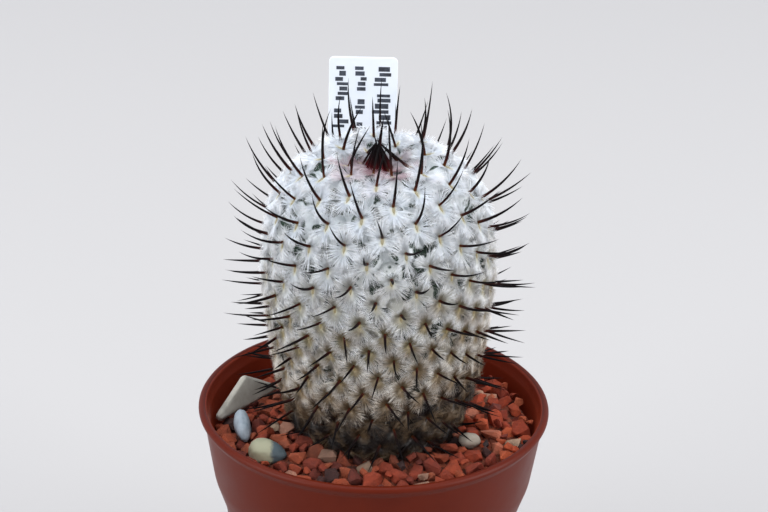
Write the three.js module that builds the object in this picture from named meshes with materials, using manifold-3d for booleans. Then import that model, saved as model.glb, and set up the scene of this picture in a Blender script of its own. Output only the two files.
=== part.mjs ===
// A small white-spined Mammillaria cactus, potted in red crushed stone in a red-brown plastic pot.
// Millimetres, +Z up. The origin is on the surface that the pot stands on, under the pot's centre.
// The view from the front looks along +Y, with +X to the right.

import * as THREE from "three";
import { ConvexHull } from "three/addons/math/ConvexHull.js";
import { mergeVertices } from "three/addons/utils/BufferGeometryUtils.js";
import Module from "manifold-3d";

const wasm = await Module();
wasm.setup();

// Driving sizes of the pot
const POT_HEIGHT = 50;
const RIM_RADIUS = 27.5;
const COLLAR_FOOT_RADIUS = 25.1;
const STEP_FOOT_RADIUS = 23.4;
const WALL = 1.0;
const BASE_RADIUS = 18.6;
const FLOOR_UNDERSIDE = 1.2;
const FOOT_RING_WIDTH = 1.8;
const COLLAR_HEIGHT = 12;
const COLLAR_STEP = 5;
const LIP_RADIUS = 0.65;
const LIP_OVERHANG = 0.5;
const POT_SIDES = 48;
const DRAIN_RADIUS = 2.0;
const DRAIN_CIRCLE = 11.5;
const DRAIN_SIDES = 10;

// Driving sizes of the filling: a potting mix with a top dressing of crushed stone
const CLEARANCE = 0.35;
const MIX_TOP = 41;
const DRESSING_AT_WALL = 44.6;
const DRESSING_AT_STEM = 46.3;
const DRESSING_HEAP = 1.8;
const CHIP_COUNT = 112;
const CHIP_CORNERS = 5;
const CHIP_RELIEF = 1.5;
const CHIP_UNEVENNESS = 0.5;
const CHIP_TILT = 0.45;

// Driving sizes of the plant: it leans a little to the front and stands a little behind the centre
const PLANT_X = 0.4;
const PLANT_Y = 2.0;
const PLANT_Z = 47;
const LEAN_TO_FRONT = THREE.MathUtils.degToRad(3.2);
const LEAN_TO_LEFT = THREE.MathUtils.degToRad(0.4);
const GOLDEN_ANGLE = Math.PI * (3 - Math.sqrt(5));

// The stem's outline through the tubercle tips, from the sunken crown down to the soil: radius, height
const STEM_OUTLINE = [
  [0, 42.1],
  [3.8, 43.5],
  [8.4, 44.3],
  [12.8, 41.8],
  [16.2, 36.6],
  [17.6, 27],
  [16.9, 17],
  [15.6, 8],
  [13.3, 0],
  [12.3, -2.2],
];

// The stem's foot under the soil line, down to the end of the root: radius, height
const FOOT_OUTLINE = [
  [10.4, -3.5],
  [7.6, -4.9],
  [4.6, -6.6],
  [2.4, -11],
];
const ROOT_END = -13.5;

// Driving sizes of the tubercles: the ground that a grown one covers in square millimetres, the band below
// the crown where they are still growing, the band below which the oldest ones have shrunk to a share of
// that ground, and how far the lowest ones stay above the stem's foot
const FULL_CELL = 19.2;
const YOUNG_SHARE = 0.14;
const YOUNG_BAND = 7.5;
const OLD_SHARE = 0.8;
const OLD_BAND = [24, 36];
const FOOT_MARGIN = 2.3;

// Driving sizes of the white star on each grown tubercle: reach of its rays and notches from the spine,
// and how deep they and the valleys between tubercles lie below the tubercle's tip
const STAR_POINTS = 10;
const OLD_STAR_POINTS = 8;
const STAR_RAY = 1.8;
const STAR_NOTCH = 1.0;
const RAY_DEPTH = 0.45;
const NOTCH_DEPTH = 0.75;
const VALLEY_DEPTH = 2.6;

// Driving sizes of the dark central spines, one on each tubercle: old ones are short, young ones long
const SPINE_ROOT_RADIUS = 0.24;
const SPINE_ROOT_DEPTH = 0.15;
const SPINE_SHORT = 5.9;
const SPINE_LONG = 8.8;
const SPINE_RISE = THREE.MathUtils.degToRad(6);
const SPINE_CURL = THREE.MathUtils.degToRad(24);

// The youngest spines stand in a bunch that meets this far above the crown
const CROWN_BUNCH = 9;
const BUNCH_HEIGHT = 4.8;
const BUNCH_X = -0.4;
const NEEDLE_SUNK = 0.8;

// Spines bend upwards until they stay this far from the label, the chips and the loose stones
const LABEL_CLEAR = 0.9;
const CHIP_CLEAR = 1.3;
const STONE_CLEAR = 0.7;

// Driving sizes of the plant label
const LABEL_WIDTH = 11;
const LABEL_THICKNESS = 0.6;
const LABEL_TOP = 97.4;
const LABEL_BOTTOM = 29;
const LABEL_X = -2.85;
const LABEL_Y_AT_SOIL = 22.3;
const LABEL_LEAN_BACK = THREE.MathUtils.degToRad(5.5);
const LABEL_CORNER = 0.8;
const LABEL_TAPER = 9;
const LABEL_POINT_WIDTH = 3;

// Loose pale stones that lie among the red ones: centre, half sizes, turn about Z and tip from flat in degrees
const LOOSE_STONES = [
  { name: "stone_white_oblong", at: [-20.5, -2.4, 46.2], half: [1.35, 3.2, 1.6], turn: 10, tip: 14, points: 20 },
  { name: "stone_two_tone", at: [-16.2, -9.6, 45.7], half: [3.0, 2.2, 1.9], turn: -12, tip: 0, points: 22 },
  { name: "stone_pale_flake", at: [-20.0, 6.2, 47.0], half: [7.2, 3.0, 0.75], turn: 48, tip: 62, points: 7 },
  { name: "stone_pale_right", at: [15.0, -6.2, 46.6], half: [1.7, 1.5, 1.2], turn: 20, tip: 0, points: 16 },
];

// The flake is a flat blade: it is as thick as it says above, round this much of each corner of its plane
const FLAKE_CORNERS = [
  [-6.85, -1.0],
  [0.2, 2.6],
  [4.9, -0.4],
  [-1.5, -2.6],
];
const STONE_ROUGHNESS = 0.07;

// A repeatable draw from 0 to 1 for item i, draw k
function draw(i, k) {
  const v = Math.sin(i * 12.9898 + k * 78.233) * 43758.5453;
  return v - Math.floor(v);
}

// The same draw spread from -1 to 1
function spread(i, k) {
  return 2 * draw(i, k) - 1;
}

function smoothstep(low, high, value) {
  const t = Math.min(1, Math.max(0, (value - low) / (high - low)));
  return t * t * (3 - 2 * t);
}

// Value at x on the straight pieces between [x, value] points in rising x
function along(points, x) {
  let k = 1;
  while (k < points.length - 1 && x > points[k][0]) k += 1;
  const [x0, v0] = points[k - 1];
  const [x1, v1] = points[k];
  return v0 + ((v1 - v0) * (x - x0)) / (x1 - x0);
}

// A solid from a geometry whose faces close on themselves
function solidOf(geometry) {
  const bare = geometry.index ? geometry.toNonIndexed() : geometry.clone();
  bare.deleteAttribute("normal");
  bare.deleteAttribute("uv");
  const merged = mergeVertices(bare, 1e-4);
  const mesh = new wasm.Mesh({
    numProp: 3,
    vertProperties: merged.attributes.position.array,
    triVerts: new Uint32Array(merged.index.array),
  });
  return new wasm.Manifold(mesh);
}

// A geometry from a solid
function geometryOf(solid) {
  const { numProp, numVert, vertProperties, triVerts } = solid.getMesh();
  const position = new Float32Array(numVert * 3);
  for (let i = 0; i < numVert; i += 1) {
    position.set(vertProperties.subarray(i * numProp, i * numProp + 3), i * 3);
  }
  const geometry = new THREE.BufferGeometry();
  geometry.setAttribute("position", new THREE.BufferAttribute(position, 3));
  geometry.setIndex(new THREE.BufferAttribute(triVerts, 1));
  return geometry;
}

// A turned shape about Z from [radius, height] points that run from the axis, outside, back to the axis
function turned(points, sides) {
  const profile = points.map(([r, z]) => new THREE.Vector2(r, z));
  return new THREE.LatheGeometry(profile, sides).rotateX(Math.PI / 2);
}

// A geometry from points and faces of three point numbers each
function geometryFrom(points, faces) {
  const position = faces.flat().flatMap((k) => points[k].toArray());
  return new THREE.BufferGeometry().setAttribute("position", new THREE.Float32BufferAttribute(position, 3));
}

// The faces of the hull round some points, as point numbers
function hullFaces(points) {
  const numbers = new Map(points.map((p, k) => [p, k]));
  const { faces } = new ConvexHull().setFromPoints(points);
  return faces.map(({ edge }) => [edge, edge.next, edge.next.next].map((e) => numbers.get(e.head().point)));
}

function hullGeometry(points) {
  return geometryFrom(points, hullFaces(points));
}

// Points round the axis at one height
function circle(sides, r, z) {
  return Array.from({ length: sides }, (_, k) => {
    const angle = (k * 2 * Math.PI) / sides;
    return new THREE.Vector3(r * Math.cos(angle), r * Math.sin(angle), z);
  });
}


// Pot

const COLLAR_FOOT = POT_HEIGHT - COLLAR_HEIGHT;
const STEP_FOOT = COLLAR_FOOT - COLLAR_STEP;
const LIP_CENTRE = POT_HEIGHT - LIP_RADIUS;

// The pot's outer wall radius at each height
const OUTER_WALL = [
  [0, BASE_RADIUS],
  [STEP_FOOT, STEP_FOOT_RADIUS],
  [COLLAR_FOOT, COLLAR_FOOT_RADIUS],
  [POT_HEIGHT, RIM_RADIUS - LIP_OVERHANG],
];

function innerRadius(z) {
  return along(OUTER_WALL, z) - WALL;
}

// What fills the pot stays this far from its inner wall
function fillRadius(z) {
  return innerRadius(z) - CLEARANCE;
}

function potGeometry() {
  const ringInner = BASE_RADIUS - FOOT_RING_WIDTH;
  const floorTop = FLOOR_UNDERSIDE + WALL;
  const lipMiddle = RIM_RADIUS - LIP_RADIUS;
  const lip = [-30, 0, 45, 90, 135, 180].map((degrees) => {
    const a = THREE.MathUtils.degToRad(degrees);
    return [lipMiddle + LIP_RADIUS * Math.cos(a), LIP_CENTRE + LIP_RADIUS * Math.sin(a)];
  });
  const underLip = LIP_CENTRE - 2 * LIP_RADIUS;
  const profile = [
    [0, FLOOR_UNDERSIDE],
    [ringInner - 0.3, FLOOR_UNDERSIDE],
    [ringInner, 0],
    [BASE_RADIUS, 0],
    [STEP_FOOT_RADIUS, STEP_FOOT],
    [COLLAR_FOOT_RADIUS, COLLAR_FOOT],
    [along(OUTER_WALL, underLip), underLip],
    ...lip,
    [innerRadius(underLip), underLip],
    [innerRadius(COLLAR_FOOT), COLLAR_FOOT],
    [innerRadius(STEP_FOOT), STEP_FOOT],
    [innerRadius(floorTop), floorTop],
    [0, floorTop],
  ];
  let pot = solidOf(turned(profile, POT_SIDES));
  // Four drain holes on a circle, and one in the middle
  for (let k = 0; k < 5; k += 1) {
    const hole = new THREE.CylinderGeometry(DRAIN_RADIUS, DRAIN_RADIUS, 4 * floorTop, DRAIN_SIDES);
    const angle = (k * Math.PI) / 2 + Math.PI / 4;
    const reach = k < 4 ? DRAIN_CIRCLE : 0;
    hole.rotateX(Math.PI / 2).translate(Math.cos(angle) * reach, Math.sin(angle) * reach, 0);
    pot = pot.subtract(solidOf(hole));
  }
  return geometryOf(pot);
}

// Label: a flat strip with a point at its foot and rounded top corners

const LABEL_FRAME = new THREE.Matrix4()
  .makeTranslation(LABEL_X, LABEL_Y_AT_SOIL, PLANT_Z)
  .multiply(new THREE.Matrix4().makeRotationX(-LABEL_LEAN_BACK));
const LABEL_FRAME_INVERSE = LABEL_FRAME.clone().invert();

// The strip, wider and thicker by a margin on every side
function labelGeometry(margin) {
  const cosine = Math.cos(LABEL_LEAN_BACK);
  const top = (LABEL_TOP - PLANT_Z) / cosine + margin;
  const bottom = (LABEL_BOTTOM - PLANT_Z) / cosine - margin;
  const half = LABEL_WIDTH / 2 + margin;
  const halfPoint = LABEL_POINT_WIDTH / 2 + margin;
  const shape = new THREE.Shape();
  shape.moveTo(-halfPoint, bottom);
  shape.lineTo(halfPoint, bottom);
  shape.lineTo(half, bottom + LABEL_TAPER);
  shape.lineTo(half, top - LABEL_CORNER);
  shape.absarc(half - LABEL_CORNER, top - LABEL_CORNER, LABEL_CORNER, 0, Math.PI / 2);
  shape.absarc(-half + LABEL_CORNER, top - LABEL_CORNER, LABEL_CORNER, Math.PI / 2, Math.PI);
  shape.lineTo(-half, bottom + LABEL_TAPER);
  const depth = LABEL_THICKNESS + 2 * margin;
  const strip = new THREE.ExtrudeGeometry(shape, { depth, bevelEnabled: false, curveSegments: 3 });
  return strip.translate(0, 0, -depth / 2).rotateX(Math.PI / 2);
}

function stoneFrame(stone) {
  const turn = THREE.MathUtils.degToRad(stone.turn);
  const tip = THREE.MathUtils.degToRad(stone.tip);
  return new THREE.Matrix4()
    .makeTranslation(...stone.at)
    .multiply(new THREE.Matrix4().makeRotationZ(turn))
    .multiply(new THREE.Matrix4().makeRotationX(tip));
}

// A broken stone, larger by a margin: points spread evenly over its ellipsoid, each pushed in or out
function stoneGeometry(stone, margin) {
  if (stone.name === "stone_pale_flake") return flakeGeometry(stone, margin);
  const half = new THREE.Vector3(...stone.half).addScalar(margin);
  return hullGeometry(stonePoints(stone, half)).applyMatrix4(stoneFrame(stone));
}

// The flake: the same points round every corner of its plane
function flakeGeometry(stone, margin) {
  const half = new THREE.Vector3(1, 1, 1).multiplyScalar(stone.half[2] + margin);
  const points = FLAKE_CORNERS.flatMap(([x, y]) => {
    return stonePoints(stone, half).map((point) => point.add(new THREE.Vector3(x, y, 0)));
  });
  return hullGeometry(points).applyMatrix4(stoneFrame(stone));
}

function stonePoints(stone, half) {
  return Array.from({ length: stone.points }, (_, k) => {
    const z = 1 - (2 * k + 1) / stone.points;
    const ring = Math.sqrt(1 - z * z);
    const angle = k * GOLDEN_ANGLE;
    const reach = 1 + STONE_ROUGHNESS * spread(stone.points, k);
    const onBall = new THREE.Vector3(Math.cos(angle) * ring, Math.sin(angle) * ring, z);
    return onBall.multiply(half).multiplyScalar(reach);
  });
}

// The plant's own frame: its soil line at the origin, its axis along Z
const PLANT_FRAME = new THREE.Matrix4()
  .makeTranslation(PLANT_X, PLANT_Y, PLANT_Z)
  .multiply(new THREE.Matrix4().makeRotationX(LEAN_TO_FRONT))
  .multiply(new THREE.Matrix4().makeRotationY(-LEAN_TO_LEFT));

// Stem outline by arc length from the crown

// Running values down the outline: arc length, how many tubercles have been passed, and arc over radius
function measureOutline() {
  const curve = new THREE.SplineCurve(STEM_OUTLINE.map(([r, h]) => new THREE.Vector2(r, h)));
  const steps = 1600;
  const rows = [{ arc: 0, r: 0, h: STEM_OUTLINE[0][1], tubercles: 0, stretch: 0 }];
  for (let k = 1; k <= steps; k += 1) {
    const last = rows[k - 1];
    const { x: r, y: h } = curve.getPoint(k / steps);
    const step = Math.hypot(r - last.r, h - last.h);
    const middle = (r + last.r) / 2;
    const arc = last.arc + step;
    const tubercles = last.tubercles + (2 * Math.PI * middle * step) / cellArea(arc);
    rows.push({ arc, r, h, tubercles, stretch: last.stretch + step / middle });
  }
  return rows;
}

const outline = measureOutline();
const OUTLINE_END = outline[outline.length - 1];

// The ground that one tubercle covers: small at the crown, where they are born, then full size, and a
// little smaller again on the old lower part
function cellArea(arc) {
  const grown = YOUNG_SHARE + (1 - YOUNG_SHARE) * smoothstep(0, YOUNG_BAND, arc);
  return FULL_CELL * grown * (1 - (1 - OLD_SHARE) * smoothstep(...OLD_BAND, arc));
}

// The outline at the place where one of its running values, such as arc or tubercles, reaches a number
function outlineAt(key, value) {
  let low = 0;
  let high = outline.length - 1;
  while (high - low > 1) {
    const middle = (low + high) >> 1;
    if (outline[middle][key] < value) low = middle;
    else high = middle;
  }
  const a = outline[low];
  const b = outline[high];
  const t = (value - a[key]) / (b[key] - a[key]);
  const length = Math.hypot(b.r - a.r, b.h - a.h);
  return {
    arc: a.arc + (b.arc - a.arc) * t,
    r: a.r + (b.r - a.r) * t,
    h: a.h + (b.h - a.h) * t,
    stretch: a.stretch + (b.stretch - a.stretch) * t,
    slope: [(b.r - a.r) / length, (b.h - a.h) / length],
  };
}

// A point of the stem at an azimuth and arc length, sunk by a depth along the surface normal
function stemPoint(azimuth, arc, depth) {
  const o = outlineAt("arc", arc);
  const [slopeR, slopeH] = o.slope;
  const r = o.r + slopeH * depth;
  const h = o.h - slopeR * depth;
  return new THREE.Vector3(r * Math.cos(azimuth), r * Math.sin(azimuth), h);
}

// The same place on a ball, by the map that keeps small shapes, so that its hull joins near neighbours.
// The stem's foot comes low on the ball, about 163 degrees from its top.
const BALL_FOOT = 1.9;

function ballPoint(azimuth, arc) {
  const polar = 2 * Math.atan(Math.exp(outlineAt("arc", arc).stretch - OUTLINE_END.stretch + BALL_FOOT));
  const r = Math.sin(polar);
  return new THREE.Vector3(r * Math.cos(azimuth), r * Math.sin(azimuth), Math.cos(polar));
}

// A place on the stem a short way from another: reach in millimetres, turn from the crownward direction.
// On the crown it is stepped off as on a flat disc.
const CROWN_ARC = 9;

function stepFrom(azimuth, arc, reach, turn) {
  const crownward = -reach * Math.cos(turn);
  const sideways = reach * Math.sin(turn);
  if (arc < CROWN_ARC) {
    const x = arc + crownward;
    return [azimuth + Math.atan2(sideways, x), Math.hypot(x, sideways)];
  }
  return [azimuth + sideways / outlineAt("arc", arc).r, arc + crownward];
}

// Tubercles: the growth spiral, one golden angle apart, counted from the crown down
function tubercleList() {
  const list = [];
  const count = Math.floor(OUTLINE_END.tubercles);
  for (let n = 0; n < count; n += 1) {
    const o = outlineAt("tubercles", n + 0.5);
    if (o.arc > OUTLINE_END.arc - FOOT_MARGIN) break;
    const azimuth = -n * GOLDEN_ANGLE;
    const size = Math.sqrt(cellArea(o.arc) / FULL_CELL);
    const [slopeR, slopeH] = o.slope;
    const outward = new THREE.Vector3(Math.cos(azimuth), Math.sin(azimuth), 0);
    const normal = outward.clone().multiplyScalar(-slopeH);
    normal.z = slopeR;
    const crownward = outward.clone().multiplyScalar(-slopeR);
    crownward.z = -slopeH;
    const sideways = new THREE.Vector3().crossVectors(crownward, normal);
    const root = stemPoint(azimuth, o.arc, SPINE_ROOT_DEPTH);
    list.push({ n, azimuth, arc: o.arc, size, normal, crownward, sideways, root });
  }
  return list;
}

// Central spines

// A point along a spine that curls in an arc: t runs from 0 at the root to 1 at the tip
function spinePoint(spine, t) {
  const turn = spine.curl * t;
  const ahead = Math.sin(turn) / spine.curl;
  const aside = (1 - Math.cos(turn)) / spine.curl;
  return spine.root
    .clone()
    .addScaledVector(spine.direction, spine.length * ahead)
    .addScaledVector(spine.bend, spine.length * aside);
}

// Whether a point in the part's frame keeps clear of the label, the chips and the loose stones
function isClear(point) {
  const onLabel = point.clone().applyMatrix4(LABEL_FRAME_INVERSE);
  const beside = Math.abs(onLabel.x) > LABEL_WIDTH / 2 + LABEL_CLEAR;
  if (!beside && onLabel.y > -LABEL_THICKNESS / 2 - LABEL_CLEAR) return false;
  if (point.z < dressingHeight(point.x, point.y) + CHIP_CLEAR) return false;
  return LOOSE_STONES.every((stone) => {
    const onStone = point.clone().applyMatrix4(stoneFrame(stone).invert());
    return onStone.divide(new THREE.Vector3(...stone.half).addScalar(STONE_CLEAR)).length() > 1;
  });
}

function spineIsClear(spine) {
  return [0.35, 0.5, 0.65, 0.8, 1].every((t) => isClear(spinePoint(spine, t).applyMatrix4(PLANT_FRAME)));
}

// The part of a vector that is square to a direction, as a unit vector
function squareTo(direction, vector) {
  return vector.clone().addScaledVector(direction, -vector.dot(direction)).normalize();
}

// A spine of the crown bunch leans to the point where they all meet
function bunchSpine({ n, sideways, root }) {
  const goal = new THREE.Vector3(BUNCH_X + 0.3 * spread(n, 1), 0.3 * spread(n, 2), outline[0].h + BUNCH_HEIGHT);
  const direction = goal.sub(root).normalize();
  // One of them is much longer than the rest
  const length = BUNCH_HEIGHT * (n === 0 ? 1.55 : 1.0 + 0.2 * draw(n, 3));
  return { root, direction, bend: squareTo(direction, sideways), curl: 0.12, length };
}

// Any other spine stands out along the surface normal. The young ones are raised and curled towards the
// crown; the old ones are straighter, and more uneven in length and heading.
function openSpine({ n, normal, crownward, sideways, root, arc }) {
  const youth = 1 - smoothstep(12, 34, arc);
  const age = smoothstep(...OLD_BAND, arc);
  const ease = smoothstep(2, 12, arc);
  const mean = SPINE_SHORT + (SPINE_LONG - SPINE_SHORT) * youth;
  const length = mean * (1 + (0.16 + 0.12 * age) * spread(n, 3));
  const curl = 0.08 + (SPINE_CURL * (1 - 0.8 * age) + 0.2 * spread(n, 6)) * ease;
  const aside = (0.15 + 0.25 * age) * spread(n, 5);
  const steepest = 1.4;
  const riseStep = 0.12;
  let rise = (SPINE_RISE * (1 - age) + 0.16 * spread(n, 4)) * ease;
  let spine;
  do {
    const direction = normal
      .clone()
      .addScaledVector(crownward, Math.tan(rise))
      .addScaledVector(sideways, aside)
      .normalize();
    const bend = squareTo(direction, crownward.clone().addScaledVector(sideways, 0.5 * spread(n, 7)));
    spine = { root, direction, bend, curl, length };
    rise += riseStep;
  } while (!spineIsClear(spine) && rise < steepest);
  return spine;
}

function spineOf(tubercle) {
  return tubercle.n < CROWN_BUNCH ? bunchSpine(tubercle) : openSpine(tubercle);
}

// Three corners round a spine at t, in an order that runs anticlockwise seen from the tip
function spineRing(spine, tubercle, t, radius) {
  const centre = spinePoint(spine, t);
  const turn = spine.curl * t;
  const heading = spine.direction
    .clone()
    .multiplyScalar(Math.cos(turn))
    .addScaledVector(spine.bend, Math.sin(turn));
  const up = squareTo(heading, tubercle.crownward);
  const side = new THREE.Vector3().crossVectors(heading, up);
  return circle(3, radius, 0).map((p) => centre.clone().addScaledVector(up, p.x).addScaledVector(side, p.y));
}

// A spine of the crown bunch as a closed needle of its own, with its root sunk in the stem
function needleGeometry(tubercle) {
  const spine = spineOf(tubercle);
  spine.root = spine.root.clone().addScaledVector(spine.direction, -NEEDLE_SUNK);
  const points = [0, 0.5].flatMap((t) => spineRing(spine, tubercle, t, SPINE_ROOT_RADIUS * (1 - 0.4 * t)));
  const faces = [[0, 2, 1]];
  addSpineSides(faces, [0, 1, 2], 3, points.push(spinePoint(spine, 1)) - 1);
  return geometryFrom(points, faces);
}

// Sides from three root corners to a ring of three, and on to the tip
function addSpineSides(faces, corners, ringStart, tip) {
  for (let k = 0; k < 3; k += 1) {
    const next = (k + 1) % 3;
    faces.push([corners[k], corners[next], ringStart + next]);
    faces.push([corners[k], ringStart + next, ringStart + k]);
    faces.push([ringStart + k, ringStart + next, tip]);
  }
}

// A spine's sides grow from the three corners of its root to a ring half way and then to the tip
function growSpine(points, faces, corners, tubercle) {
  const spine = spineOf(tubercle);
  const middle = spinePoint(spine, 0.5);
  const ring = spineRing(spine, tubercle, 0.5, SPINE_ROOT_RADIUS * 0.8);
  const ringStart = points.length;
  // Each root corner joins the ring corner on its own side of the spine
  for (const corner of corners) {
    const away = points[corner].clone().sub(spine.root);
    const sides = ring.map((p) => p.clone().sub(middle).dot(away));
    points.push(ring[sides.indexOf(Math.max(...sides))]);
  }
  addSpineSides(faces, corners, ringStart, points.push(spinePoint(spine, 1)) - 1);
}

// The stem with its tubercles, white star relief and central spines, as one grown solid

const FOOT_SIDES = 44;
const FOOT_SUNK = 0.6;

// Valleys lie at the corners where three tubercles meet, but for the hull's own floor at the foot
function valleyPlaces(tubercles) {
  const footBand = OUTLINE_END.arc - 6;
  const centres = tubercles.map((t) => ballPoint(t.azimuth, t.arc));
  const corners = hullFaces(centres).filter((face) => face.some((k) => tubercles[k].arc < footBand));
  return corners.map((face) => {
    const [a, b, c] = face.map((k) => centres[k]);
    const outward = new THREE.Vector3().crossVectors(b.clone().sub(a), c.clone().sub(a));
    const mean = (key) => face.reduce((sum, k) => sum + tubercles[k][key], 0) / 3;
    return [Math.atan2(outward.y, outward.x), mean("arc"), VALLEY_DEPTH * mean("size")];
  });
}

function cactusGeometry() {
  const tubercles = tubercleList();
  const ball = [];
  const points = [];
  const addPlace = (azimuth, arc, depth) => {
    ball.push(ballPoint(azimuth, arc));
    return points.push(stemPoint(azimuth, arc, depth)) - 1;
  };
  valleyPlaces(tubercles).forEach((place) => addPlace(...place));
  // Each tubercle has three corners round its spine's root, and the ring of its star
  const rootOwner = new Map();
  for (const t of tubercles) {
    for (let k = 0; k < 3; k += 1) {
      const place = stepFrom(t.azimuth, t.arc, SPINE_ROOT_RADIUS, (-k * 2 * Math.PI) / 3);
      rootOwner.set(addPlace(...place, 0), t);
    }
    const turn = 0.2 * spread(t.n, 8);
    const count = t.arc < OLD_BAND[1] ? STAR_POINTS : OLD_STAR_POINTS;
    for (let k = 0; k < count; k += 1) {
      const reach = k % 2 ? STAR_NOTCH : STAR_RAY;
      const depth = k % 2 ? NOTCH_DEPTH : RAY_DEPTH;
      const place = stepFrom(t.azimuth, t.arc, reach * t.size, turn + (k * 2 * Math.PI) / count);
      addPlace(...place, depth * t.size);
    }
  }
  const footStart = points.length;
  for (let k = 0; k < FOOT_SIDES; k += 1) {
    addPlace((k * 2 * Math.PI) / FOOT_SIDES, OUTLINE_END.arc, FOOT_SUNK);
  }
  // The hull on the ball says which neighbours share a face, and a spine grows from each root's face
  const faces = [];
  for (const face of hullFaces(ball)) {
    if (face.every((k) => k >= footStart)) continue;
    const owner = rootOwner.get(face[0]);
    const isRoot = owner !== undefined && face.every((k) => rootOwner.get(k) === owner);
    if (isRoot && owner.n >= CROWN_BUNCH) growSpine(points, faces, face, owner);
    else faces.push(face);
  }
  closeFoot(points, faces, footStart);
  const stem = solidOf(geometryFrom(points, faces));
  const bunch = tubercles.slice(0, CROWN_BUNCH).map((t) => solidOf(needleGeometry(t)));
  return geometryOf(bunch.reduce((all, needle) => all.add(needle), stem));
}

// The foot under the soil line: rings that narrow to the root, and its end
function closeFoot(points, faces, footStart) {
  let start = footStart;
  for (const [r, h] of FOOT_OUTLINE) {
    const next = points.length;
    points.push(...circle(FOOT_SIDES, r, h));
    for (let k = 0; k < FOOT_SIDES; k += 1) {
      const after = (k + 1) % FOOT_SIDES;
      faces.push([start + k, next + after, start + after], [start + k, next + k, next + after]);
    }
    start = next;
  }
  const end = points.push(new THREE.Vector3(0, 0, ROOT_END)) - 1;
  for (let k = 0; k < FOOT_SIDES; k += 1) {
    faces.push([start + k, end, start + ((k + 1) % FOOT_SIDES)]);
  }
}

// The room that the stem's foot takes in the filling, with its clearance
function footRoom() {
  const stemFoot = STEM_OUTLINE.slice(-3);
  const sides = [...stemFoot, ...FOOT_OUTLINE].map(([r, h]) => [r + 1.3 * CLEARANCE, h - CLEARANCE]).reverse();
  const profile = [[0, ROOT_END - 2 * CLEARANCE], ...sides, [0, stemFoot[0][1] - CLEARANCE]];
  return solidOf(turned(profile, FOOT_SIDES).applyMatrix4(PLANT_FRAME));
}

// Top dressing: angular stone chips packed side by side, as a relief on a bed

// It is heaped up towards the wall on the right
function heapHeight(x) {
  return DRESSING_HEAP * smoothstep(12, 21, x);
}

function dressingHeight(x, y) {
  const fall = (DRESSING_AT_WALL - DRESSING_AT_STEM) * smoothstep(14, 25, Math.hypot(x, y));
  return DRESSING_AT_STEM + fall + heapHeight(x);
}

// Triangles that join points to their near neighbours as seen from above, by the hull of a bowl of them
function joinFlat(points) {
  const lifted = points.map((p) => new THREE.Vector3(p.x, p.y, (p.x * p.x + p.y * p.y) / 20));
  const doubledArea = ([a, b, c]) =>
    (points[b].x - points[a].x) * (points[c].y - points[a].y) -
    (points[c].x - points[a].x) * (points[b].y - points[a].y);
  // The hull's underside runs clockwise seen from above
  const underside = hullFaces(lifted).filter((face) => doubledArea(face) < 0);
  return underside.map((face) => face.reverse());
}

// Chips lie from just under the stem's edge to just inside the wall
function chipCentres() {
  const inner = 11;
  const outer = fillRadius(DRESSING_AT_WALL) - 1.9;
  return Array.from({ length: CHIP_COUNT }, (_, k) => {
    const share = (k + 0.5) / CHIP_COUNT;
    const r = Math.sqrt(inner * inner + share * (outer * outer - inner * inner)) + 0.35 * spread(k, 11);
    const azimuth = k * GOLDEN_ANGLE + (1.2 / r) * spread(k, 12);
    return new THREE.Vector3(r * Math.cos(azimuth), r * Math.sin(azimuth), 0);
  });
}

// The corners of one chip's flat, tilted top
function chipTop(centre, k, reach) {
  const height = dressingHeight(centre.x, centre.y) + CHIP_UNEVENNESS * spread(k, 13);
  const tiltX = CHIP_TILT * spread(k, 14);
  const tiltY = CHIP_TILT * spread(k, 15);
  return Array.from({ length: CHIP_CORNERS }, (_, j) => {
    const angle = (2 * Math.PI * (j + 0.55 * spread(k, 20 + j))) / CHIP_CORNERS + 2 * Math.PI * draw(k, 16);
    const away = reach * (0.82 + 0.22 * spread(k, 30 + j));
    const x = away * Math.cos(angle);
    const y = away * Math.sin(angle);
    return new THREE.Vector3(centre.x + x, centre.y + y, height + x * tiltX + y * tiltY);
  });
}

// Low points between each two and each three neighbouring chips
function chipGaps(centres) {
  const underStem = 10;
  const widest = 6;
  const gaps = [];
  for (const corners of joinFlat(centres)) {
    const [a, b, c] = corners.map((k) => centres[k]);
    const middle = a.clone().add(b).add(c).divideScalar(3);
    if (Math.hypot(middle.x, middle.y) < underStem) continue;
    gaps.push(middle);
    for (let k = 0; k < 3; k += 1) {
      const next = (k + 1) % 3;
      const [p, q] = [centres[corners[k]], centres[corners[next]]];
      // Two neighbouring triangles share each side, so it is taken once
      if (corners[k] < corners[next] && p.distanceTo(q) < widest) gaps.push(p.clone().lerp(q, 0.5));
    }
  }
  return gaps;
}

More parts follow.
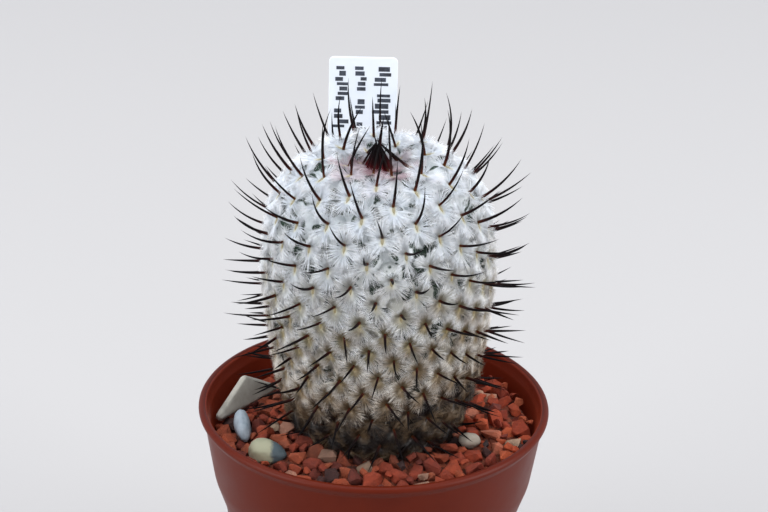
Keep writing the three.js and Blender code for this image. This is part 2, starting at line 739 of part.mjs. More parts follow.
function dressingSolid() {
  const low = MIX_TOP + CLEARANCE;
  const edgeHeight = DRESSING_AT_WALL - 1;
  const edgeRadius = fillRadius(edgeHeight);
  const centres = chipCentres();
  const points = circle(POT_SIDES, edgeRadius, edgeHeight).map((point) => {
    const height = edgeHeight + heapHeight(point.x);
    const wider = fillRadius(height) / edgeRadius;
    return new THREE.Vector3(point.x * wider, point.y * wider, height);
  });
  for (const gap of [new THREE.Vector3(), ...chipGaps(centres)]) {
    points.push(gap.setZ(dressingHeight(gap.x, gap.y) - CHIP_RELIEF));
  }
  centres.forEach((centre, k) => {
    const nearest = Math.min(...centres.filter((c) => c !== centre).map((c) => c.distanceTo(centre)));
    const toWall = edgeRadius - 0.2 - Math.hypot(centre.x, centre.y);
    points.push(...chipTop(centre, k, Math.min(nearest / 2, toWall)));
  });
  const faces = joinFlat(points);
  // The side down to the bed's underside, and the underside
  const bottom = points.length;
  points.push(...circle(POT_SIDES, fillRadius(low), low), new THREE.Vector3(0, 0, low));
  for (let k = 0; k < POT_SIDES; k += 1) {
    const next = (k + 1) % POT_SIDES;
    faces.push([k, bottom + k, bottom + next], [k, bottom + next, next]);
    faces.push([bottom + POT_SIDES, bottom + next, bottom + k]);
  }
  return solidOf(geometryFrom(points, faces));
}

// Everything that is set into the filling and needs its own room there
function seats() {
  const rooms = LOOSE_STONES.map((stone) => solidOf(stoneGeometry(stone, CLEARANCE)));
  rooms.push(solidOf(labelGeometry(CLEARANCE).applyMatrix4(LABEL_FRAME)));
  return rooms.reduce((all, room) => all.add(room), footRoom());
}

function mixSolid() {
  const low = FLOOR_UNDERSIDE + WALL + CLEARANCE;
  const profile = [
    [0, low],
    [fillRadius(low), low],
    [fillRadius(STEP_FOOT), STEP_FOOT],
    [fillRadius(COLLAR_FOOT), COLLAR_FOOT],
    [fillRadius(MIX_TOP), MIX_TOP],
    [0, MIX_TOP],
  ];
  return solidOf(turned(profile, POT_SIDES));
}

// The largest piece of a solid, without the crumbs that trimming leaves
function mainBody(solid) {
  return solid.decompose().sort((a, b) => b.volume() - a.volume())[0];
}

// Assembly

function material(color, roughness) {
  return new THREE.MeshStandardMaterial({ color, roughness, metalness: 0 });
}

const POT_PLASTIC = material(0x7a3326, 0.45);
const POTTING_MIX = material(0x3b2a20, 0.95);
const RED_STONE = material(0x9a4a32, 0.9);
const STEM = material(0xd9dcdc, 0.8);
const LABEL_PLASTIC = material(0xe9eef4, 0.4);
const PALE_STONE = material(0xc9c8b8, 0.85);

function named(name, geometry, look) {
  const mesh = new THREE.Mesh(geometry, look);
  mesh.name = name;
  return mesh;
}

const object = new THREE.Group();
const room = seats();

object.add(named("pot", potGeometry(), POT_PLASTIC));
object.add(named("potting_mix", geometryOf(mainBody(mixSolid().subtract(room))), POTTING_MIX));
object.add(named("top_dressing", geometryOf(mainBody(dressingSolid().subtract(room))), RED_STONE));

const plant = new THREE.Group();
plant.applyMatrix4(PLANT_FRAME);
plant.add(named("cactus", cactusGeometry(), STEM));
object.add(plant);

const label = named("label", labelGeometry(0), LABEL_PLASTIC);
label.applyMatrix4(LABEL_FRAME);
object.add(label);

for (const stone of LOOSE_STONES) {
  object.add(named(stone.name, stoneGeometry(stone, 0), PALE_STONE));
}

export default object;
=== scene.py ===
# %% [markdown]
# # A potted Mammillaria
# A small cactus under a coat of white spines, in a red-brown plastic pot filled with crushed red
# stone. Its CAD model gives every size. This lesson dresses that model: each step makes one real
# piece or one real finish, in the model's own frame, and prints what it made.

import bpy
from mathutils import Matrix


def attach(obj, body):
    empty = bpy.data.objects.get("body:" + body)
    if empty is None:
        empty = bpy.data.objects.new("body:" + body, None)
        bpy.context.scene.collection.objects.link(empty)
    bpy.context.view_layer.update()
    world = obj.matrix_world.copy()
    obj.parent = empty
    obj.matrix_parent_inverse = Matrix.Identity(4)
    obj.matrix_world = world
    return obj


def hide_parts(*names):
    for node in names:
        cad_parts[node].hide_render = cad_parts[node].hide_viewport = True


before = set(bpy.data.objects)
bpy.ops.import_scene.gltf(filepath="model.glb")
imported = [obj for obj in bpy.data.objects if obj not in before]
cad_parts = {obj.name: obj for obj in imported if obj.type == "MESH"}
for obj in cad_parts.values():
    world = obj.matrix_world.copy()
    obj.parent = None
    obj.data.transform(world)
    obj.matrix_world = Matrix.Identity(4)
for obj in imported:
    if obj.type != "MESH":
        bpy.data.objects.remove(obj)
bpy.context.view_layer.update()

# %% [markdown]
# ## Measures and small helpers
# Blender works in metres, and a plant this small is easier to think of in millimetres, so every
# size below is in millimetres and one function turns points into a mesh in metres. Colours are
# written as on a colour picker, and a renderer needs them linear. Nodes are added by one function
# that also sets them and wires them up, which keeps a tree readable from top to bottom.

# %% Units, colours, nodes and materials
import math

import bpy
import numpy as np
from mathutils import Matrix, Vector, noise

MM = 0.001


def linear(code):
    """The linear RGBA of an sRGB hex value"""
    channels = [int(code[k : k + 2], 16) / 255 for k in (1, 3, 5)]
    lit = [c / 12.92 if c <= 0.04045 else ((c + 0.055) / 1.055) ** 2.4 for c in channels]
    return (*lit, 1.0)


def wire(tree, node, wires):
    """Fill a node's inputs, by name or number, each with a plain value, with an output, or with the
    first output that another node has in use"""
    for key, value in wires.items():
        named = [s for s in node.inputs if s.enabled and s.name == key]
        socket = named[0] if named else node.inputs[key]
        if isinstance(value, bpy.types.Node):
            value = next(s for s in value.outputs if s.enabled)
        if isinstance(value, bpy.types.NodeSocket):
            tree.links.new(value, socket)
        else:
            socket.default_value = value


def add(tree, kind, wires=None, stops=(), **settings):
    """Add one node: wires fill its inputs, settings are its properties and stops its ramp's colours"""
    node = tree.nodes.new(kind)
    for key, value in settings.items():
        setattr(node, key, value)
    if stops:
        ramp = node.color_ramp.elements
        while len(ramp) < len(stops):
            ramp.new(0.5)
        for element, (at, code) in zip(ramp, stops):
            element.position, element.color = at, linear(code)
    wire(tree, node, wires or {})
    return node


def new_material(name, constants, values=()):
    """A Principled material with its constants set: the material, its tree and shader, and what it
    reads from its piece, which is the place on it or a value that its points carry"""
    material = bpy.data.materials.new(name)
    material.use_nodes = True
    tree = material.node_tree
    shader = tree.nodes["Principled BSDF"]
    wire(tree, shader, constants)
    own = {}
    for key in values:
        if key == "place":
            own[key] = add(tree, "ShaderNodeTexCoord").outputs["Object"]
        else:
            own[key] = add(tree, "ShaderNodeAttribute", attribute_name=key).outputs["Fac"]
    return material, tree, shader, own


print("helpers ready")

# %% [markdown]
# ## Growing things with Geometry Nodes
# Spines, tubercles, wool and chips all repeat, and each one has its own place, direction and age.
# They could be placed one by one in Python, but a Geometry Nodes tree does it faster and shows the
# rule. The trees below start from a mesh of bare points that carry those values as attributes, and
# end in Realize Instances, so that what they grew is a plain mesh.


# %% Points that carry values
def carry(mesh, **values):
    """Give each point of a mesh its own named values"""
    for key, column in values.items():
        column = np.asarray(column, np.float32)
        kind, field = ("FLOAT_VECTOR", "vector") if column.ndim == 2 else ("FLOAT", "value")
        mesh.attributes.new(key, kind, "POINT").data.foreach_set(field, column.ravel())


def mesh_of(name, places, faces=()):
    """A mesh from points in millimetres"""
    mesh = bpy.data.meshes.new(name)
    mesh.from_pydata((np.asarray(places) * MM).tolist(), [], faces)
    return mesh


def point_mesh(name, places, **values):
    mesh = mesh_of(name, places)
    carry(mesh, **values)
    return mesh


print("points ready")

# %% An empty tree, its end, a way to run one, and what a finished piece says
SOCKETS = {int: "NodeSocketInt", float: "NodeSocketFloat", bpy.types.Material: "NodeSocketMaterial"}


def new_tree(name, sizes, numbers=(), vectors=()):
    """A tree with a named input for each size: the tree, its inputs, and nodes that read the
    numbers and vectors that the points carry"""
    tree = bpy.data.node_groups.new(name, "GeometryNodeTree")
    tree.interface.new_socket("Geometry", in_out="INPUT", socket_type="NodeSocketGeometry")
    for key, value in sizes.items():
        tree.interface.new_socket(key, in_out="INPUT", socket_type=SOCKETS[type(value)])
    tree.interface.new_socket("Geometry", in_out="OUTPUT", socket_type="NodeSocketGeometry")
    given = tree.nodes.new("NodeGroupInput").outputs
    kinds = {**dict.fromkeys(numbers, "FLOAT"), **dict.fromkeys(vectors, "FLOAT_VECTOR")}
    own = {}
    for key, kind in kinds.items():
        own[key] = add(tree, "GeometryNodeInputNamedAttribute", {"Name": key}, data_type=kind)
    return tree, given, own


def end_tree(tree, geometry, material, smooth=True):
    """The last nodes of every tree: realized, shaded and with its material"""
    solid = add(tree, "GeometryNodeRealizeInstances", {"Geometry": geometry})
    shaded = add(tree, "GeometryNodeSetShadeSmooth", {"Geometry": solid, "Shade Smooth": smooth})
    finished = add(tree, "GeometryNodeSetMaterial", {"Geometry": shaded, "Material": material})
    add(tree, "NodeGroupOutput", {"Geometry": finished})


def in_scene(name, data):
    """An object at the origin that shows this mesh, light or camera"""
    obj = bpy.data.objects.new(name, data)
    bpy.context.scene.collection.objects.link(obj)
    return obj


def settle(obj):
    """Keep what an object's modifiers make as its plain mesh, and remove them"""
    depsgraph = bpy.context.evaluated_depsgraph_get()
    made = obj.evaluated_get(depsgraph)
    mesh = bpy.data.meshes.new_from_object(made, preserve_all_data_layers=True, depsgraph=depsgraph)
    obj.modifiers.clear()
    obj.data = mesh
    mesh.name = obj.name


def grow(name, source, tree, sizes):
    """Run a tree on a source mesh and keep what it makes as a plain mesh object"""
    obj = in_scene(name, source)
    modifier = obj.modifiers.new("grow", "NODES")
    modifier.node_group = tree
    for item in tree.interface.items_tree:
        if item.in_out == "INPUT" and item.name in sizes:
            modifier[item.identifier] = sizes[item.name]
    settle(obj)
    return obj


def finish_piece(obj, node):
    """Hang a finished piece on the root body, hide the CAD node that it stands for, and print its triangles
    """
    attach(obj, "root")
    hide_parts(node)
    obj.data.calc_loop_triangles()
    print(obj.name, len(obj.data.loop_triangles), "triangles")


print("trees can be grown")

# %% [markdown]
# ## The growth rule of the plant
# The stem grows from its crown. Each new tubercle appears one golden angle round from the last one,
# which gives the crossing spirals that every Mammillaria shows. The stem's outline says how much
# ground each tubercle has, so its place follows from counting. The CAD source has the same rule
# with the same numbers, and so each spine here stands where the solid model has it.

# %% Outline of the stem and how many tubercles have passed
PLANT_PLACE = (0.4, 2.0, 47)
LEAN_TO_FRONT, LEAN_TO_LEFT = math.radians(3.2), math.radians(0.4)
GOLDEN_ANGLE = math.pi * (3 - math.sqrt(5))
# Radius and height of the outline's points, from the crown to the soil and on to the root
STEM_OUTLINE = [
    (0, 42.1), (3.8, 43.5), (8.4, 44.3), (12.8, 41.8), (16.2, 36.6),
    (17.6, 27), (16.9, 17), (15.6, 8), (13.3, 0), (12.3, -2.2),
]
FOOT_OUTLINE = [(10.4, -3.5), (7.6, -4.9), (4.6, -6.6), (2.4, -11), (0, -13.5)]
OUTLINE_STEPS = 1600
# The ground of a grown tubercle in square millimetres, and the share of it that the youngest and
# the oldest ones have, with the bands of arc length in which that changes
FULL_CELL = 19.2
YOUNG_SHARE, YOUNG_BAND = 0.14, (0, 7.5)
OLD_SHARE, OLD_BAND = 0.8, (24, 36)
FOOT_MARGIN = 2.3  # no tubercle grows on this last part of the outline

to_plant = (
    Matrix.Translation(PLANT_PLACE)
    @ Matrix.Rotation(LEAN_TO_FRONT, 4, "X")
    @ Matrix.Rotation(-LEAN_TO_LEFT, 4, "Y")
)


def smoothstep(low, high, value):
    t = min(1.0, max(0.0, (value - low) / (high - low)))
    return t * t * (3 - 2 * t)


def outline_point(t):
    """A smooth curve through the outline's points, t from 0 at the crown to 1 at the foot"""
    last = len(STEM_OUTLINE) - 1
    k = min(int(last * t), last)
    w = last * t - k
    p = np.array([STEM_OUTLINE[min(max(j, 0), last)] for j in (k - 1, k, k + 1, k + 2)], float)
    v0, v1 = (p[2] - p[0]) / 2, (p[3] - p[1]) / 2
    cubic, square = 2 * p[1] - 2 * p[2] + v0 + v1, 3 * p[2] - 3 * p[1] - 2 * v0 - v1
    return cubic * w**3 + square * w**2 + v0 * w + p[1]


def cell_area(arc):
    grown = YOUNG_SHARE + (1 - YOUNG_SHARE) * smoothstep(*YOUNG_BAND, arc)
    return FULL_CELL * grown * (1 - (1 - OLD_SHARE) * smoothstep(*OLD_BAND, arc))


def measure_outline():
    """Rows of arc length, radius, height and tubercles passed, down the outline"""
    rows = [(0.0, *outline_point(0), 0.0)]
    for k in range(1, OUTLINE_STEPS + 1):
        arc, last_r, last_h, passed = rows[-1]
        r, h = outline_point(k / OUTLINE_STEPS)
        step, middle = math.hypot(r - last_r, h - last_h), (r + last_r) / 2
        arc += step
        rows.append((arc, r, h, passed + 2 * math.pi * middle * step / cell_area(arc)))
    return np.array(rows)


outline = measure_outline()
ARC, RADIUS, HEIGHT, PASSED = range(4)
print("outline", round(outline[-1, ARC], 1), "mm long, room for", int(outline[-1, PASSED]), "tubercles")


# %% Repeatable draws and directions
def draw(i, k):
    """A repeatable draw from 0 to 1 for item i, draw k"""
    v = math.sin(i * 12.9898 + k * 78.233) * 43758.5453
    return v - math.floor(v)


def spread(i, k):
    """The same from -1 to 1"""
    return 2 * draw(i, k) - 1


def unit(v):
    return v / np.linalg.norm(v)


def square_to(direction, v):
    return unit(v - direction * np.dot(v, direction))


print("a draw:", round(draw(1, 1), 3))

# %% One row of values for each tubercle
SPINE_SEAT = 0.15  # how far below the stem's outline the areoles lie


def stem_frame(row, azimuth, depth):
    """The place, outward, crownward and sideways directions at a row of the outline"""
    a, b = outline[max(row - 1, 0)], outline[max(row, 1)]
    slope_r, slope_h = unit(np.array([b[RADIUS] - a[RADIUS], b[HEIGHT] - a[HEIGHT]]))
    r, h = outline[row, RADIUS] + slope_h * depth, outline[row, HEIGHT] - slope_r * depth
    c, s = math.cos(azimuth), math.sin(azimuth)
    outward = np.array([-slope_h * c, -slope_h * s, slope_r])
    crownward = np.array([-slope_r * c, -slope_r * s, -slope_h])
    return np.array([r * c, r * s, h]), outward, crownward, np.cross(crownward, outward)


tubercles = []
while True:
    number = len(tubercles)
    row = int(np.searchsorted(outline[:, PASSED], number + 0.5))
    arc = outline[row, ARC]
    if arc > outline[-1, ARC] - FOOT_MARGIN:
        break
    place, outward, crownward, sideways = stem_frame(row, -number * GOLDEN_ANGLE, SPINE_SEAT)
    tubercles.append({
        "n": number, "arc": arc, "height": outline[row, HEIGHT],
        "size": math.sqrt(cell_area(arc) / FULL_CELL),
        "place": place, "outward": outward, "crownward": crownward, "sideways": sideways,
    })
print(len(tubercles), "tubercles")

# %% [markdown]
# ## Epidermis: the skin of the stem
# Under the spines the stem is covered in tubercles, small blunt cones that each carry one cluster of
# spines. Its green skin is flecked with a pale waxy bloom, which is what the eye meets between the
# white spines; bare green shows only in a few patches. Sculpting 300 tubercles would be slow and
# uneven. One blunt knob is instanced on the growth points instead, as large as each has grown, over
# a turned core that closes the stem between them and runs down to the root.

# %% Material: epidermis, green under a pale waxy bloom, brown and then black with age
PATCH_SCALE = 1 / (2.6 * MM)  # the bare patches are 2 to 3 mm across


def relief(tree, place, grain, depth, strength, **more):
    """A bump made from noise, its grain and its depth in millimetres"""
    lumps = add(tree, "ShaderNodeTexNoise", {"Vector": place, "Scale": 1 / (grain * MM), **more})
    return add(tree, "ShaderNodeBump", {"Height": lumps, "Strength": strength, "Distance": depth * MM})


skin, tree, shader, own = new_material("cactus_epidermis", {"Roughness": 0.6, "IOR": 1.42}, ["place", "age"])
bloom = add(tree, "ShaderNodeValToRGB", {"Fac": own["age"]}, stops=[
    (0.0, "#D3DBE0"), (0.25, "#B3B0A4"), (0.55, "#6E5F4C"), (0.75, "#4A3A28"), (1.0, "#1E1511"),
])
bare = add(tree, "ShaderNodeValToRGB", {"Fac": own["age"]}, stops=[
    (0.0, "#22382C"), (0.45, "#2B2E20"), (0.75, "#2A1F16"), (1.0, "#17100D"),
])
patches = add(tree, "ShaderNodeTexNoise", {"Vector": own["place"], "Scale": PATCH_SCALE, "Detail": 2.0})
is_bare = add(tree, "ShaderNodeMapRange", {"Value": patches, "From Min": 0.5, "From Max": 0.54})
colour = add(tree, "ShaderNodeMix", {"Factor": is_bare, "A": bloom, "B": bare}, data_type="RGBA")
skin_relief = relief(tree, own["place"], grain=0.5, depth=0.1, strength=0.3, Detail=4.0)
wire(tree, shader, {"Base Color": colour, "Normal": skin_relief})
print(skin.name)

# %% The points that everything on the stem grows from
to_plant_turn = np.array(to_plant.to_3x3())
to_plant_shift = np.array(to_plant.translation)


def in_pot(places):
    """From the plant's own frame to the part's"""
    return np.asarray(places) @ to_plant_turn.T + to_plant_shift


def as_turned(directions):
    return np.asarray(directions) @ to_plant_turn.T


def column(key):
    return np.array([t[key] for t in tubercles])


# The spines' age by height: white and young at the top, then cream, and brown-black at the soil
AGES = [(0, 1.0), (6.6, 1.0), (8.6, 0.8), (11, 0.55), (16, 0.42), (24, 0.25), (34, 0.1), (42, 0.05), (60, 0)]
STAIN_RISE = 2.5  # the brown staining reaches this much higher on the plant's right
stained_height = column("height") - STAIN_RISE * np.cos(column("n") * GOLDEN_ANGLE)
ages = np.interp(stained_height, *zip(*AGES))
tubercle_values = {
    "age": ages, "size": column("size"),
    "outward": as_turned(column("outward")), "crownward": as_turned(column("crownward")),
}
print("age at the crown", ages[0].round(2), "and at the soil", ages[-1].round(2))

# %% A tree that stands a flattened ball on each point, and the tubercles that it grows
KNOB_HEIGHT, KNOB_SINK = 3.0, 0.25
KNOB_SIZES = {
    "Length": 2.25 * MM, "Width": 2.25 * MM, "Height": KNOB_HEIGHT * MM, "Segments": 12, "Rings": 8,
    "Material": skin,
}
knob_tree, given, own = new_tree("knobs", KNOB_SIZES, ["size"], ["outward", "crownward"])
ball = add(knob_tree, "GeometryNodeMeshUVSphere", {
    "Segments": given["Segments"], "Rings": given["Rings"], "Radius": 1.0,
})
lie = add(knob_tree, "FunctionNodeAxesToRotation", {
    "Primary Axis": own["outward"], "Secondary Axis": own["crownward"],
}, primary_axis="Z", secondary_axis="X")
shape = add(knob_tree, "ShaderNodeCombineXYZ", {
    "X": given["Length"], "Y": given["Width"], "Z": given["Height"],
})
sized = add(knob_tree, "ShaderNodeVectorMath", {0: shape, "Scale": own["size"]}, operation="SCALE")
knobs = add(knob_tree, "GeometryNodeInstanceOnPoints", {
    "Points": given["Geometry"], "Instance": ball, "Rotation": lie, "Scale": sized,
})
end_tree(knob_tree, knobs, given["Material"])
sunk = column("place") - column("outward") * (KNOB_HEIGHT + KNOB_SINK) * column("size")[:, None]
knob_points = point_mesh("tubercle_points", in_pot(sunk), **tubercle_values)
finish_piece(grow("cactus_tubercles", knob_points, knob_tree, KNOB_SIZES), "cactus")


# %% Pieces from points and faces
def mesh_piece(name, places, faces, material, smooth=True):
    """An object from points in millimetres and faces"""
    mesh = mesh_of(name, places, faces)
    mesh.polygons.foreach_set("use_smooth", [smooth] * len(mesh.polygons))
    mesh.materials.append(material)
    return in_scene(name, mesh)


def turned(profile, sides):
    """Points and faces of a shape turned about Z, from [radius, height] points on its outline.
    A point on the axis becomes one vertex, so that the poles are closed."""
    places, rings = [], []
    for r, z in profile:
        count = 1 if r < 1e-6 else sides
        rings.append(list(range(len(places), len(places) + count)))
        for k in range(count):
            angle = 2 * math.pi * k / sides
            places.append((r * math.cos(angle), r * math.sin(angle), z))
    faces = []
    for low, high in zip(rings, rings[1:]):
        for k in range(sides):
            n = (k + 1) % sides
            quad = [low[k % len(low)], low[n % len(low)], high[n % len(high)], high[k % len(high)]]
            faces.append([v for j, v in enumerate(quad) if v != quad[j - 1]])
    return places, faces


print("shapes can be turned")

# %% The core between and under the tubercles
CORE_DEPTH, CORE_TOP, CORE_SIDES = 2.3, 39.7, 96
CORE_ROWS = range(80, OUTLINE_STEPS + 1, 20)  # every 20th row of the outline, but for the crown's
core_rows = [stem_frame(row, 0.0, CORE_DEPTH)[0][[0, 2]] for row in CORE_ROWS]
core_places, core_faces = turned([(0, CORE_TOP), *core_rows, *FOOT_OUTLINE][::-1], CORE_SIDES)
core = mesh_piece("cactus_core", in_pot(core_places), core_faces, skin)
carry(core.data, age=np.interp(np.array(core_places)[:, 2], *zip(*AGES)))
finish_piece(core, "cactus")

# %% [markdown]
# ## Areoles: the wool that spines stand in
# Each tubercle ends in an areole, an oval cushion of felted tan wool that is longer from crown to
# foot than it is wide. A flattened ball on each tip is enough, because the spines hide most of it,
# so the tubercles' tree grows the cushions too, with other sizes.

# %% Material: areole felt, matt tan wool that browns with age
wool, tree, shader, own = new_material(
    "areole_wool", {"Roughness": 0.95, "Sheen Weight": 0.2}, ["place", "age"]
)
tone = add(tree, "ShaderNodeValToRGB", {"Fac": own["age"]}, stops=[
    (0.0, "#8F8A72"), (0.25, "#86774F"), (0.6, "#6E5630"), (1.0, "#2A1E16"),
])
# Wool hairs of 0.02 mm are too fine to show, so tufts of 0.12 mm are drawn
tufts = relief(tree, own["place"], grain=0.12, depth=0.1, strength=0.8, Detail=3.0)
wire(tree, shader, {"Base Color": tone, "Normal": tufts})
print(wool.name)

# %% Cushions on the tubercle tips
AREOLE_SHIFT = 0.55  # the spine cluster is centred this far footward of the central spine
CUSHION_SIZES = {
    "Length": 0.6 * MM, "Width": 0.25 * MM, "Height": 0.13 * MM, "Segments": 8, "Rings": 6,
    "Material": wool,
}
areole_places = in_pot(column("place") - column("crownward") * AREOLE_SHIFT * column("size")[:, None])
areole_points = point_mesh("areole_points", areole_places, **tubercle_values)
finish_piece(grow("cactus_areoles", areole_points, knob_tree, CUSHION_SIZES), "cactus")

# %% [markdown]
# ## Radial spines: the white coat
# Some fifty short white spines lie round each areole like the rays of a star, and reach over their
# neighbours, so that the green skin hardly shows. A hair system could draw them, but its strands
# are no mesh. The tree copies each areole point once for each spine, turns the crownward direction
# round the outward one for each ray, lifts it a little off the skin, and puts one curved needle
# there. Needles are plainer than real spines, so it takes five layers of them to close the coat.

# %% Material: radial spine, a glassy white bristle, cream and then dark brown when old
white_spine, tree, shader, own = new_material(
    "radial_spine_white", {"Roughness": 0.45, "IOR": 1.5}, ["place", "age", "tint", "along", "youngest"]
)
young_tone = add(tree, "ShaderNodeValToRGB", {"Fac": own["along"]}, stops=[
    (0.0, "#C9C5B2"), (0.06, "#DADDD8"), (0.16, "#E4EBF4"), (0.75, "#EEF2F8"), (1.0, "#F6F4F2"),
])
# Each spine is a little older or younger than its neighbours
old = add(tree, "ShaderNodeMath", {0: own["tint"], 1: 0.12, 2: own["age"]}, operation="MULTIPLY_ADD")
old_tone = add(tree, "ShaderNodeValToRGB", {"Fac": old}, stops=[
    (0.0, "#F6F5F4"), (0.3, "#F5F2EE"), (0.5, "#ECE5DA"), (0.7, "#94806A"), (0.88, "#2A1F19"),
    (1.0, "#1A1310"),
])
is_old = add(tree, "ShaderNodeMapRange", {"Value": old, "From Min": 0.1, "From Max": 0.5})
# Painted shade and painted reflection: in front of the crown's tent of red spines the white ones are tinted
# a dull pink
pink_share = add(tree, "ShaderNodeMath", {0: own["youngest"], 1: 0.85}, operation="MULTIPLY")
# Old ones are olive-brown round the areole
root_share = add(tree, "ShaderNodeMapRange", {
    "Value": own["along"], "From Min": 0.22, "From Max": 0.75, "To Min": 1.0, "To Max": 0.0,
})
root_age = add(tree, "ShaderNodeMapRange", {
    "Value": own["age"], "From Min": 0.03, "From Max": 0.26, "To Min": 0.0, "To Max": 0.9,
})
brown_share = add(tree, "ShaderNodeMath", {0: root_share, 1: root_age}, operation="MULTIPLY")
brown = add(tree, "ShaderNodeValToRGB", {"Fac": old}, stops=[
    (0.0, "#8C8450"), (0.3, "#7F7040"), (0.5, "#725A32"), (0.72, "#4C3820"), (0.9, "#1E1612"),
])
# Painted shade: soft brown blotches, stronger on the old spines, stand in for the shade between the
# tubercles
blotches = add(tree, "ShaderNodeTexNoise", {"Vector": own["place"], "Scale": 1 / (3.2 * MM), "Detail": 3.0})
painted_shade_mask = add(tree, "ShaderNodeMapRange", {"Value": blotches, "From Min": 0.45, "From Max": 0.62})
painted_shade_strength = add(tree, "ShaderNodeMapRange", {
    "Value": own["age"], "From Min": 0.03, "From Max": 0.35, "To Min": 0.04, "To Max": 0.6,
})
painted_shade_share = add(tree, "ShaderNodeMath", {0: painted_shade_mask, 1: painted_shade_strength}, operation="MULTIPLY")
colour = young_tone
# Over the young colour go the old one, the pink of painted shade and reflection, the brown of the roots and
# the brown of painted shade
for share, over in [
    (is_old, old_tone), (pink_share, linear("#945F6B")),
    (brown_share, brown), (painted_shade_share, linear("#7E6648")),
]:
    colour = add(tree, "ShaderNodeMix", {"Factor": share, "A": colour, "B": over}, data_type="RGBA")
wire(tree, shader, {"Base Color": colour})
print(white_spine.name)

# %% The tree, first part: the ray and the root of each spine
# Real radial spines are 0.05 mm thick, too fine to show, so most are drawn up to twice as thick.
# The length is in millimetres on a full-grown tubercle, and the lift, the recurve and the
# thickness are shares of it. A stray spine is turned aside, in radians.
RADIAL_SIZES = {
    "Spines each": 60, "Length": 3.0, "Lift": 0.14, "Lift spread": 0.1, "Recurve": 0.1,
    "Thickness": 0.012, "Steps": 2, "Start": 0.0, "Stray": 0.15, "Seed": 0,
    "Areole length": 0.7 * MM, "Areole width": 0.14 * MM, "Material": white_spine,
}
# Random values for each spine: lowest, highest, and a step of the seed that keeps the draws apart
DRAWS = {
    "ring": (-0.5, 0.5, 3), "lift": (-1.0, 1.0, 5), "length": (0.85, 1.15, 7),
    "tint": (-1.0, 1.0, 9), "stray": (-1.0, 1.0, 11), "start": (0.45, 1.0, 13),
}
tree, given, own = new_tree("radial_spines", RADIAL_SIZES, ["size", "reach"], ["outward", "crownward"])
copies = add(tree, "GeometryNodeDuplicateElements", {
    "Geometry": given["Geometry"], "Amount": given["Spines each"],
}, domain="POINT")
drawn = {}
for key, (low, high, step) in DRAWS.items():
    seed = add(tree, "ShaderNodeMath", {0: given["Seed"], 1: step}, operation="ADD")
    drawn[key] = add(tree, "FunctionNodeRandomValue", {
        "Min": low, "Max": high, "Seed": seed,
    }, data_type="FLOAT")
index = copies.outputs["Duplicate Index"]
in_ring = add(tree, "ShaderNodeMath", {0: index, 1: drawn["ring"]}, operation="ADD")
share = add(tree, "ShaderNodeMath", {0: in_ring, 1: given["Spines each"]}, operation="DIVIDE")
angle = add(tree, "ShaderNodeMath", {0: share, 1: 2 * math.pi}, operation="MULTIPLY")
ray = add(tree, "ShaderNodeVectorRotate", {
    "Vector": own["crownward"], "Axis": own["outward"], "Angle": angle,
}, rotation_type="AXIS_ANGLE")
# Roots sit on an oval: its width for every ray, and the rest of its length along the crownward one
up_share = add(tree, "ShaderNodeVectorMath", {0: ray, 1: own["crownward"]}, operation="DOT_PRODUCT")
longer = add(tree, "ShaderNodeMath", {
    0: given["Areole length"], 1: given["Areole width"],
}, operation="SUBTRACT")
up_reach = add(tree, "ShaderNodeMath", {0: up_share, 1: longer}, operation="MULTIPLY")
long_part = add(tree, "ShaderNodeVectorMath", {0: own["crownward"], "Scale": up_reach}, operation="SCALE")
oval = add(tree, "ShaderNodeVectorMath", {
    0: ray, 1: given["Areole width"], 2: long_part,
}, operation="MULTIPLY_ADD")
oval_sized = add(tree, "ShaderNodeVectorMath", {0: oval, "Scale": own["size"]}, operation="SCALE")
lift = add(tree, "ShaderNodeMath", {
    0: drawn["lift"], 1: given["Lift spread"], 2: given["Lift"],
}, operation="MULTIPLY_ADD")
aim = add(tree, "ShaderNodeVectorMath", {0: own["outward"], 1: lift, 2: ray}, operation="MULTIPLY_ADD")
# A fringe of loose tips starts part of the way out instead of at the areole
furthest = add(tree, "ShaderNodeMath", {0: given["Start"], 1: own["reach"]}, operation="MULTIPLY")
start = add(tree, "ShaderNodeMath", {0: furthest, 1: drawn["start"]}, operation="MULTIPLY")
root_shift = add(tree, "ShaderNodeVectorMath", {0: aim, 1: start, 2: oval_sized}, operation="MULTIPLY_ADD")
print("nodes for the rays and roots:", len(tree.nodes))

# %% The tree, second part: how each spine stands and how long it is
stray = add(tree, "ShaderNodeMath", {0: drawn["stray"], 1: given["Stray"]}, operation="MULTIPLY")
strayed = add(tree, "ShaderNodeVectorRotate", {
    "Vector": aim, "Axis": own["outward"], "Angle": stray,
}, rotation_type="AXIS_ANGLE")
stand = add(tree, "FunctionNodeAxesToRotation", {
    "Primary Axis": strayed, "Secondary Axis": own["outward"],
}, primary_axis="Z", secondary_axis="X")
full_length = add(tree, "ShaderNodeMath", {0: given["Length"], 1: own["reach"]}, operation="MULTIPLY")
# Over the bare patches of the skin the spines are broken shorter, so that some green shows
where = add(tree, "GeometryNodeInputPosition")
tip = add(tree, "ShaderNodeVectorMath", {0: ray, 1: full_length, 2: where}, operation="MULTIPLY_ADD")
patches = add(tree, "ShaderNodeTexNoise", {"Vector": tip, "Scale": PATCH_SCALE, "Detail": 2.0})
broken = add(tree, "ShaderNodeMapRange", {
    "Value": patches, "From Min": 0.52, "From Max": 0.58, "To Min": 1.0, "To Max": 0.4,
})
whole_length = add(tree, "ShaderNodeMath", {0: full_length, 1: broken}, operation="MULTIPLY")
length = add(tree, "ShaderNodeMath", {0: whole_length, 1: drawn["length"]}, operation="MULTIPLY")
tinted = add(tree, "GeometryNodeStoreNamedAttribute", {
    "Geometry": copies, "Name": "tint", "Value": drawn["tint"],
}, data_type="FLOAT", domain="POINT")
print("nodes for the stand and length too:", len(tree.nodes))

